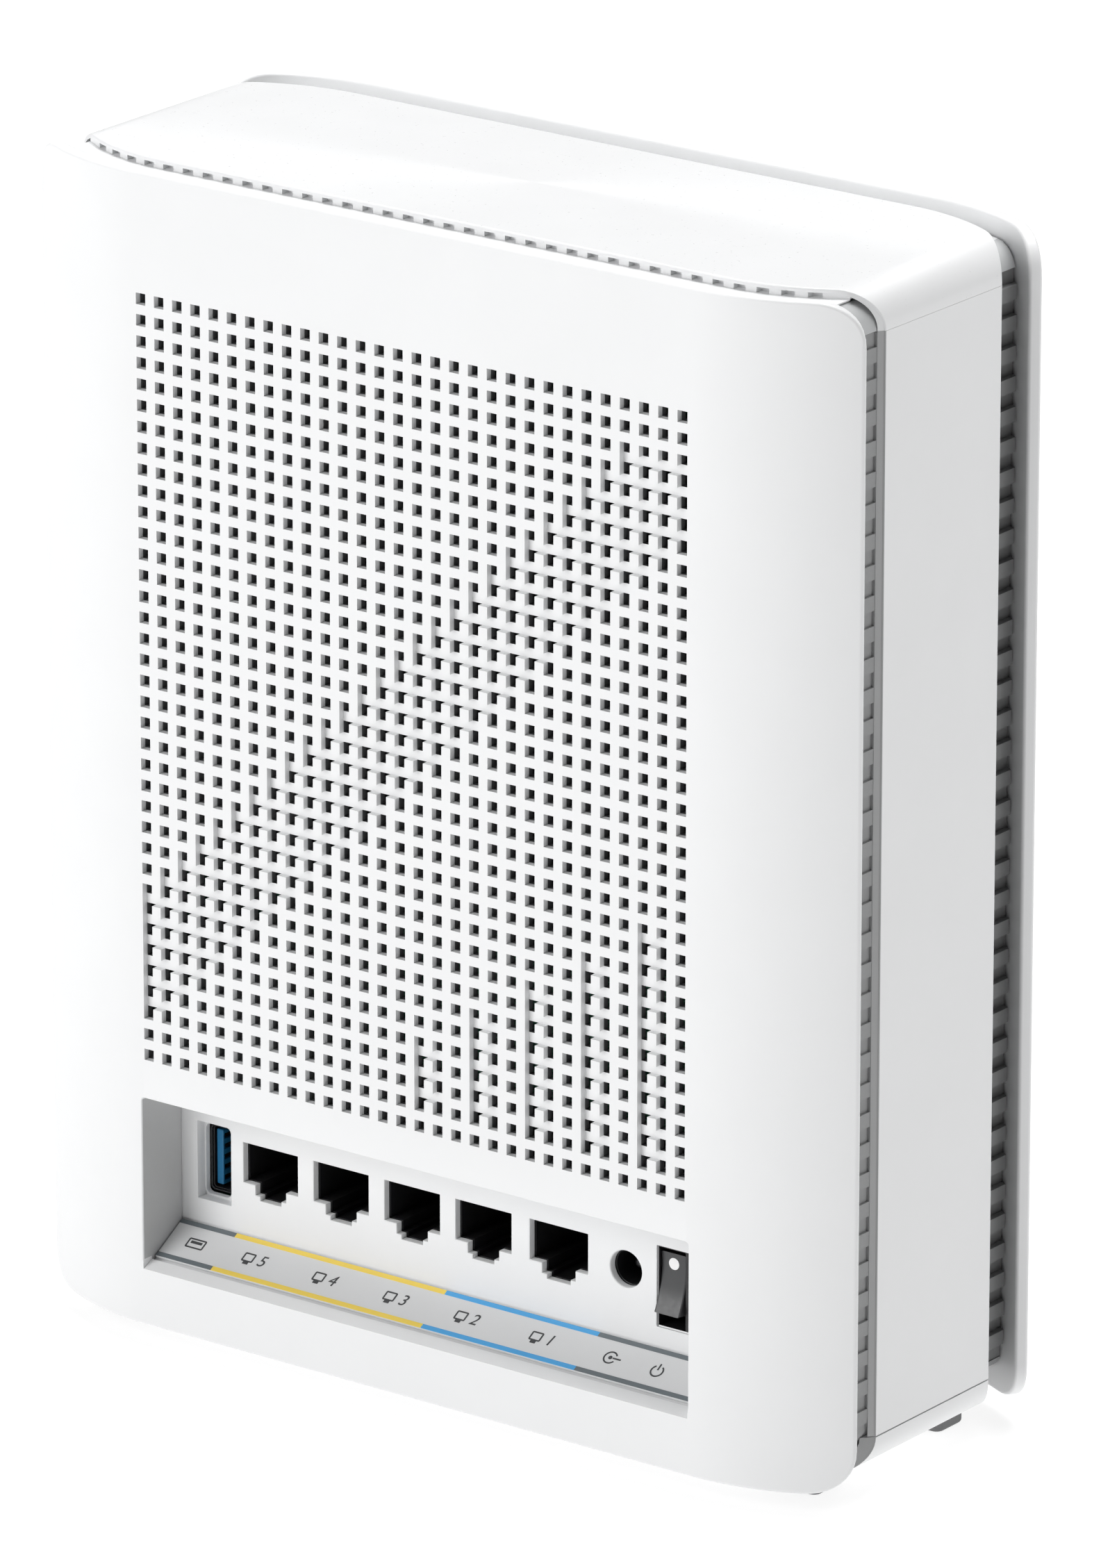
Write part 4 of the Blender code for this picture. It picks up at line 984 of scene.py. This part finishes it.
def make_jack(number, half):
    node = f"network_jack_{number}"
    low, high = cad(node)
    x, face_y = (low.x + high.x) / 2, high.y
    jack = block(f"jack_{number}_body", node, 0.4, 0.3, 0.15)
    floor = face_y - JACK_CAVITY
    comb = [(jack_shape(x, half, -0.1), "Y", opening(floor, face_y, 0.1))]
    contacts = [x + (i - (CONTACTS - 1) / 2) * CONTACT_PITCH for i in range(CONTACTS)]
    for slot_x in contacts:
        comb.append((rounded((slot_x, 40.3), (0.6, 1.4)), "Y", solid(floor, face_y - 3.0)))
    work(jack, *comb, overlapping=True)
    settle(jack, BLACK, [node])
    wires = bmesh.new()
    section = rounded((0, 0), (0.34, 0.34), 0.12, 2)(0)
    path = [(face_y - 3.4, 40.75), (face_y - 4.6, 39.6), (floor + 1.6, 36.4), (floor + 0.3, 36.2)]
    for wire_x in contacts:
        add_loft(wires, [[(wire_x + a, y, z + b) for a, b in section] for y, z in path])
    settle(as_object(f"jack_{number}_contacts", wires), GOLD)


def make_usb():
    low, high = cad("usb_shell")
    centre, size = seen_along_y(low, high)

    def ring(walls, radius, steps=6):
        """The socket's outline without a total wall thickness."""
        return rounded(centre, (size[0] - walls, size[1] - walls), radius, steps)

    face, lining_face = high.y + USB_PROUD, high.y - 0.2
    shell = as_object("usb_port_shell", shapes((ring(0, 1.0), "Y", solid(low.y, face, 0.1, 0.12))))
    work(shell, (ring(0.7, 0.75), "Y", opening(low.y + 0.8, face, 0.1)))
    settle(shell, DARK_STEEL_AND_PAINTED_SHADE, ["usb_shell"])
    liner = (ring(0.8, 0.7), "Y", solid(low.y + 1.0, lining_face))
    lining = as_object("usb_port_lining", shapes(liner))
    work(lining, (ring(1.2, 0.5, 4), "Y", opening(low.y + 3.0, lining_face, 0.1)))
    settle(lining, BLACK)
    t_low, t_high = cad("usb_tongue")
    t_centre, t_size = seen_along_y(t_low, t_high)
    bar = (rounded(t_centre, t_size, 0.2, 3), "Y", solid(low.y + 3.2, t_high.y, 0.1, 0.2))
    tongue = as_object("usb_port_tongue", shapes(bar))
    notches = []
    pads = []
    notch_span = solid(t_high.y - 4.5, t_high.y - 0.35)
    pad_span = solid(t_high.y - 4.4, t_high.y - 1.2)
    for i in range(USB_PADS):
        z = t_centre[1] + (i - USB_PADS // 2) * USB_PAD_PITCH
        notches.append((rounded((t_low.x, z), (1.3, 1.1)), "Y", notch_span))
        pads.append((rounded((t_low.x + 0.5, z), (0.3, 0.7)), "Y", pad_span))
    work(tongue, *notches)
    settle(tongue, BLUE, ["usb_tongue"])
    settle(as_object("usb_port_contacts", shapes(*pads)), DARK_STEEL_AND_PAINTED_SHADE)


def make_power_inlet():
    face_y = cad("dc_jack_body")[1].y
    pin_low, pin_high = cad("dc_jack_pin")
    pin_centre, pin_size = seen_along_y(pin_low, pin_high)
    body = block("dc_inlet_body", "dc_jack_body", 0.4, 0.3, 0.15)
    bore = disc(pin_centre, DC_BORE_R, 64)
    work(body, (bore, "Y", opening(pin_low.y - 0.3, face_y, 0.15)))
    settle(body, BLACK, ["dc_jack_body"])
    pin_outline = disc(pin_centre, pin_size[0] / 2, 32)
    pin = (pin_outline, "Y", solid(pin_low.y, pin_high.y, 0, 0.8, 6))
    # The pin's dark colour is painted shade of the deep bore round it.
    piece("dc_inlet_pin", DARK_STEEL_AND_PAINTED_SHADE, "plated_steel", ["dc_jack_pin"], pin)


# ---- power switch
def rocker_outline(inset):
    """Side outline of the rocker about its pivot, as (y, z): a dished front and a narrow back."""
    spread = math.asin(ROCKER_HALF_H / ROCKER_R)
    steps = range(ROCKER_STEPS + 1)
    turns = [math.pi - spread + 2 * spread * i / ROCKER_STEPS for i in steps]
    front = [(ROCKER_CENTRE_Y + ROCKER_R * math.cos(t), ROCKER_R * math.sin(t)) for t in turns]
    points = front + [(y, -z) for y, z in ROCKER_BACK] + list(reversed(ROCKER_BACK))
    shrink = 1 - inset / ROCKER_HALF_H
    c, s = math.cos(ROCKER_TILT), math.sin(ROCKER_TILT)
    return [((y * c - z * s) * shrink, (y * s + z * c) * shrink) for y, z in points]


def make_switch():
    low, high = cad("switch_housing")
    housing = block("switch_frame", "switch_housing", 0.5, 0.3, 0.1)
    (x_low, z_low), (x_high, z_high) = SWITCH_CUTOUT
    middle_z = (low.z + high.z) / 2
    collar_size = (x_high - x_low - 2 * BEZEL_PLAY, z_high - z_low - 2 * BEZEL_PLAY)
    collar = rounded(((x_low + x_high) / 2, middle_z), collar_size, 0.12, 2)
    collar_y = cad("io_panel")[1].y - BEZEL_FACE_DEPTH
    work(housing, (collar, "Y", solid(high.y - 1, collar_y, 0, 0.08)), operation="UNION")
    inner_x = x_high - BEZEL_W
    hollow_size = (inner_x - SWITCH_OPENING_LOW_X, z_high - z_low - 2 * BEZEL_W)
    hollow = rounded(((SWITCH_OPENING_LOW_X + inner_x) / 2, middle_z), hollow_size, 0.15, 3)
    work(housing, (hollow, "Y", opening(low.y + 1.2, collar_y, 0.06)))
    pin_low, pin_high = cad("rocker_pin")
    pivot = (pin_low + pin_high) / 2
    bore = disc((pivot.y, pivot.z), AXLE_BORE_R, 32)
    work(housing, (bore, "X", solid(low.x - REACH, high.x + REACH)))
    settle(housing, BLACK, ["switch_housing"])
    make_bezel(inner_x, collar_y)
    make_rocker(pivot, bore)
    pin = disc((pivot.y, pivot.z), (pin_high.z - pin_low.z) / 2, 32)
    axle = (pin, "X", solid(pin_low.x, pin_high.x, 0.15, 0.15))
    piece("rocker_axle", STEEL, "plated_steel", ["rocker_pin"], axle)


def make_rocker(pivot, bore):
    """The rocker with the round mark near its upper end."""
    low, high = cad("power_rocker")
    loops = []
    for inset, x in solid(low.x, high.x, 0.35, 0.35):
        loops.append([(x, pivot.y + y, pivot.z + z) for y, z in rocker_outline(inset)])
    rocker = as_object("rocker_key", lofted(loops))
    work(rocker, (bore, "X", solid(low.x - REACH, high.x + REACH)))
    settle(rocker, ROCKER, ["power_rocker"], "power_rocker")
    dot = (disc((0, 0), MARK_R, 40), "Z", solid(-0.3, PRINT_T, 0, 0.03))
    mark = as_object("rocker_mark", shapes(dot))
    lean = math.asin(MARK_HEIGHT / ROCKER_R)
    surface_y = ROCKER_CENTRE_Y - ROCKER_R * math.cos(lean)
    on_face = Matrix.Translation(Vector((0, surface_y, MARK_HEIGHT)) * MM)
    turn = Matrix.Rotation(ROCKER_TILT, 4, "X") @ on_face
    turn = turn @ Matrix.Rotation(-math.pi / 2 - lean, 4, "X")
    place = Vector(((low.x + high.x) / 2, pivot.y, pivot.z))
    mark.data.transform(Matrix.Translation(place * MM) @ turn)
    settle(mark, WHITE_INK, body="power_rocker")


def make_bezel(inner_x, face_y):
    """The bezel's outer edge, painted dark as painted shade, and its lower edge, painted light as a
    painted highlight, just proud of its black face.
    """
    (x_low, z_low), (x_high, z_high) = SWITCH_CUTOUT
    x_low, z_low = x_low + BEZEL_PLAY, z_low + BEZEL_PLAY
    side = between((inner_x, z_low), (x_high - BEZEL_PLAY, z_high - BEZEL_PLAY))
    sill = between((x_low, z_low), (inner_x - BEZEL_PLAY, z_low + BEZEL_W))
    span = solid(face_y - 0.05, face_y + 0.03)
    piece("switch_bezel_side", BEZEL_SIDE_PAINTED_SHADE, "black_plastic", (), (side, "Y", span))
    piece("switch_bezel_sill", BEZEL_SILL_PAINTED_LIGHT, "black_plastic", (), (sill, "Y", span))


# ---- label strip
def strip_matrix():
    """From the strip's own frame to the router's, in metres, and the strip's length up the slope.

    In the strip's frame x runs along the print, y up the slope and z off the film.
    """
    low, high = cad("label_strip")
    slope = math.atan(FLOOR_SLOPE)
    along = Vector((-1, 0, 0))
    up = Vector((0, -math.cos(slope), math.sin(slope)))
    off = along.cross(up)
    length = (high.y - low.y) / math.cos(slope)
    middle_y = (low.y + high.y) / 2
    middle_z = (low.z + high.z) / 2 + STRIP_T / 2
    basis = Matrix((along, up, off)).transposed().to_4x4()
    return Matrix.Translation(Vector((0, middle_y, middle_z)) * MM) @ basis, length


def add_print(mesh, outline):
    add_shape(mesh, outline, "Z", solid(PRINT_SINK, PRINT_T))


def frame_shape(mesh, centre, size):
    """A printed outline of a rectangle."""
    outer = rounded(centre, size, 0.3, 3)(0)
    inner_size = (size[0] - 2 * ICON_LINE, size[1] - 2 * ICON_LINE)
    inner = rounded(centre, inner_size, 0.05, 3)(0)
    loops = []
    for (a, b), (c, d) in zip(outer, inner):
        loops.append([(a, b, PRINT_SINK), (c, d, PRINT_SINK), (c, d, PRINT_T), (a, b, PRINT_T)])
    add_loft(mesh, loops, ring=True)


def arc_shape(mesh, centre, radius, start, end):
    """A printed arc; angles in degrees."""
    inner, outer = radius - ICON_LINE / 2, radius + ICON_LINE / 2
    section = ((inner, PRINT_SINK), (outer, PRINT_SINK), (outer, PRINT_T), (inner, PRINT_T))
    loops = []
    for i in range(ICON_STEPS + 1):
        turn = math.radians(start + (end - start) * i / ICON_STEPS)
        c, s = math.cos(turn), math.sin(turn)
        loops.append([(centre[0] + r * c, centre[1] + r * s, z) for r, z in section])
    add_loft(mesh, loops)


def numeral(text, centre_x):
    """A printed numeral as a thin mesh in the strip's frame, in metres."""
    curve = bpy.data.curves.new("numeral", "FONT")
    curve.body = text
    curve.size = NUMERAL_H * MM / CAPITAL_SHARE
    curve.align_x = "CENTER"
    curve.align_y = "CENTER"
    curve.shear = 0.15
    curve.extrude = NUMERAL_T * MM
    temporary = new_object("numeral", curve)
    data = evaluated_mesh(temporary)
    bpy.data.objects.remove(temporary)
    data.transform(Matrix.Translation(Vector((centre_x, 0, 0.01)) * MM))
    return data


def port_icons():
    """One mesh with an icon below each port and the numerals of the network ports."""
    icons = bmesh.new()
    usb_x = -middle("usb_shell").x
    frame_shape(icons, (usb_x, 0), (4.1, 2.3))
    add_print(icons, rounded((usb_x, 0.25), (2.6, 0.6)))
    jacks = [-middle(f"network_jack_{i}").x for i in range(1, 6)]
    for jack_x in jacks:
        x = jack_x - 1.7
        frame_shape(icons, (x, 0.2), (2.6, 2.1))
        add_print(icons, rounded((x, -1.15), (1.2, 0.6)))
    dc_x = -middle("dc_jack_pin").x
    arc_shape(icons, (dc_x, 0), 1.3, 30, 330)
    add_print(icons, disc((dc_x, 0), 0.42, 20))
    add_print(icons, rounded((dc_x + 1.45, 0), (1.8, ICON_LINE)))
    switch_x = -middle("switch_housing").x
    arc_shape(icons, (switch_x, -0.15), 1.25, 125, 415)
    add_print(icons, rounded((switch_x, 0.8), (ICON_LINE, 1.5)))
    for i, jack_x in enumerate(jacks):
        icons.from_mesh(numeral(str(len(jacks) - i), jack_x + 1.5))
    return icons


def make_label():
    to_router, length = strip_matrix()

    def lay(name, mesh, material, nodes=()):
        laid = as_object(name, mesh)
        laid.data.transform(to_router)
        settle(laid, material, nodes)

    half = cad("label_strip")[1].x
    film = (rounded((0, 0), (2 * half, length), 0.2, 3), "Z", solid(-STRIP_T, 0, 0, 0.08))
    lay("label_strip_film", shapes(film), FILM, ["label_strip"])
    inks = {"grey": BAND_GREY, "yellow": BAND_YELLOW, "blue": BAND_BLUE}
    bands = {colour: bmesh.new() for colour in inks}
    edges = [half, *BAND_EDGES, -half]
    for (start, end), colour in zip(zip(edges, edges[1:]), ("grey", "yellow", "blue", "grey")):
        for side in (-1, 1):
            centre = (-(start + end) / 2, side * (length / 2 - BAND_W / 2 - BAND_INSET))
            add_print(bands[colour], rounded(centre, (start - end, BAND_W)))
    for colour, mesh in bands.items():
        lay(f"label_band_{colour}", mesh, inks[colour])
    lay("label_marks", port_icons(), INK)


# ---- small pieces
def make_feet():
    for i in range(1, 5):
        low, high = cad(f"foot_{i}")
        pad = (between(low, high, 1.8, 6), "Z", solid(low.z, high.z, 0.7, 0))
        piece(f"rubber_foot_{i}", RUBBER, "foot_rubber", [f"foot_{i}"], pad)


def make_buttons():
    for name, cap_r, flange_r, stem_r in BUTTONS:
        low, high = cad(name)
        centre = (low + high) / 2
        flange_low, flange_high = FLANGE_LOW_Z - low.z, FLANGE_HIGH_Z - low.z
        profile = [(cap_r - 0.5, 0.0), (cap_r - 0.15, 0.15), (cap_r, 0.5), (cap_r, flange_low)]
        profile += [(flange_r, flange_low), (flange_r, flange_high)]
        profile += [(stem_r, flange_high), (stem_r, high.z - low.z)]
        if name == "pairing_button":
            profile = [(0.4, 0.5), (1.6, 0.3)] + profile
        button = as_object(f"{name}_cap", turned_mesh(profile))
        button.data.transform(Matrix.Translation(Vector((centre.x, centre.y, low.z)) * MM))
        settle(button, BUTTON, [name], name)


def screw_profile(head_r, head_h, shank_r, length):
    """(radius, z) pairs of a pan head screw along +Z with its face at z = 0."""
    profile = [(head_r * 0.6, 0.0), (head_r * 0.85, 0.12), (head_r, 0.6)]
    profile += [(head_r, head_h), (shank_r, head_h)]
    z = head_h + 0.6
    while z < head_h + length - SCREW_TIP:
        profile += [(shank_r * 0.8, z), (shank_r, z + THREAD_PITCH / 2)]
        z += THREAD_PITCH
    return profile + [(shank_r * 0.3, head_h + length)]


def make_screws():
    across = (rounded((0, 0), CROSS_SLOT), "Z", solid(-1, CROSS_DEPTH))
    upright = (rounded((0, 0), CROSS_SLOT[::-1]), "Z", solid(-1, CROSS_DEPTH + 0.01))
    for prefix, head_r, head_h, shank_r in SCREWS:
        for i in range(1, 5):
            low, high = cad(f"{prefix}_{i}")
            centre = (low + high) / 2
            along_y = prefix == "board_screw"
            length = (high.y - low.y if along_y else high.z - low.z) - head_h
            profile = screw_profile(head_r, head_h, shank_r, length)
            screw = as_object(f"{prefix}_{i}_fine", turned_mesh(profile, 32))
            work(screw, across, upright, overlapping=True)
            if along_y:
                turn = Matrix.Rotation(math.pi / 2, 4, "X")
                place = Vector((centre.x, high.y, centre.z))
            else:
                turn = Matrix.Identity(4)
                place = Vector((centre.x, centre.y, low.z))
            screw.data.transform(Matrix.Translation(place * MM) @ turn)
            settle(screw, STEEL, [f"{prefix}_{i}"])


def dress_inner_parts():
    """The hidden CAD nodes keep their shapes and get their own finishes."""
    looks = (
        (("inner_frame",), FRAME_PLASTIC, "frame_plastic"),
        (("main_board", "port_board", "antenna"), BOARD, "circuit_board"),
        (("board_link", "pairing_contact", "reset_contact"), BLACK, "black_plastic"),
        (("heatsink",), SINK, "sink_aluminium"),
        (("thermal_pad",), PAD, "thermal_pad"),
        (("shield_can",), STEEL, "plated_steel"),
        (("coax",), COAX, "coax_jacket"),
    )
    for name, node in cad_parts.items():
        for starts, material, slot in looks:
            if name.startswith(starts):
                node.data.materials.clear()
                node.data.materials.append(material)


# ---- stage
# Lengths and places of the camera and the lights are in metres.
CAMERA_PLACE = (216.957, 18.667, 2.2)  # azimuth, elevation and distance
CAMERA_TARGET = Vector((-0.0026, -0.0014, 0.1136))
CAMERA_LENS = 275.5
LIGHT_TARGET = Vector((0, 0, 0.11))
FLOOR_SIZE = 9.0
WORLD_STRENGTH = 0.02
FLOOR_GLOW = 0.82
# Name, size, power, azimuth, elevation and distance of each softbox.
LIGHTS = (
    ("key_light", (1.6, 1.6), 38.5, 155, 25, 2.6),
    ("fill_light", (1.6, 1.6), 4.5, 140, 15, 2.6),
    ("side_light", (1.6, 1.6), 10.9, 290, 12, 2.6),
    ("back_light", (1.8, 1.8), 38.0, 20, 72, 2.6),
    ("top_light", (2.6, 2.0), 61.5, 0, 74, 3.0),
)


def aimed(name, data, target, azimuth, elevation, distance):
    """Puts a camera or lamp at a distance from its target, looking at it."""
    a, e = math.radians(azimuth), math.radians(elevation)
    back = Vector((math.sin(a) * math.cos(e), -math.cos(a) * math.cos(e), math.sin(e)))
    made = new_object(name, data)
    made.location = target + back * distance
    made.rotation_mode = "QUATERNION"
    made.rotation_quaternion = (-back).to_track_quat("-Z", "Y")
    return made


def make_camera():
    data = bpy.data.cameras.new("camera")
    data.lens = CAMERA_LENS
    data.sensor_width = 36.0
    data.sensor_fit = "AUTO"
    data.clip_start = 0.05
    data.clip_end = 60.0
    bpy.context.scene.camera = aimed("camera", data, CAMERA_TARGET, *CAMERA_PLACE)


def area_light(name, size, power, *place):
    data = bpy.data.lights.new(name, "AREA")
    data.shape = "RECTANGLE"
    data.size, data.size_y = size
    data.energy = power
    aimed(name, data, LIGHT_TARGET, *place).visible_camera = False


def make_stage():
    mesh = bmesh.new()
    bmesh.ops.create_grid(mesh, x_segments=8, y_segments=8, size=FLOOR_SIZE)
    floor = as_object("floor", mesh)
    grey = (0.3, 0.3, 0.3)
    paint = look("floor_paint", grey, 0.85, 0.004, 0.5, 40.0, 0.0, specular_ior_level=0.1)
    glow = paint.node_tree.nodes["Principled BSDF"].inputs
    glow["Emission Color"].default_value = (1.0, 1.0, 1.0, 1.0)
    glow["Emission Strength"].default_value = FLOOR_GLOW
    floor.data.materials.append(paint)
    world = bpy.data.worlds.new("studio")
    world.use_nodes = True
    background = world.node_tree.nodes["Background"]
    background.inputs["Color"].default_value = (1.0, 1.0, 1.0, 1.0)
    background.inputs["Strength"].default_value = WORLD_STRENGTH
    bpy.context.scene.world = world
    for light in LIGHTS:
        area_light(*light)
    bpy.context.scene.view_settings.view_transform = "Standard"
    bpy.context.scene.view_settings.look = "None"


def main():
    make_camera()
    make_rear_plate()
    make_front_plate()
    make_shell()
    make_neck("rear", 1)
    make_neck("front", -1)
    make_io_panel()
    for number, half in enumerate(JACK_HALVES, 1):
        make_jack(number, half)
    make_usb()
    make_power_inlet()
    make_switch()
    make_label()
    make_feet()
    make_buttons()
    make_screws()
    dress_inner_parts()
    make_stage()


main()
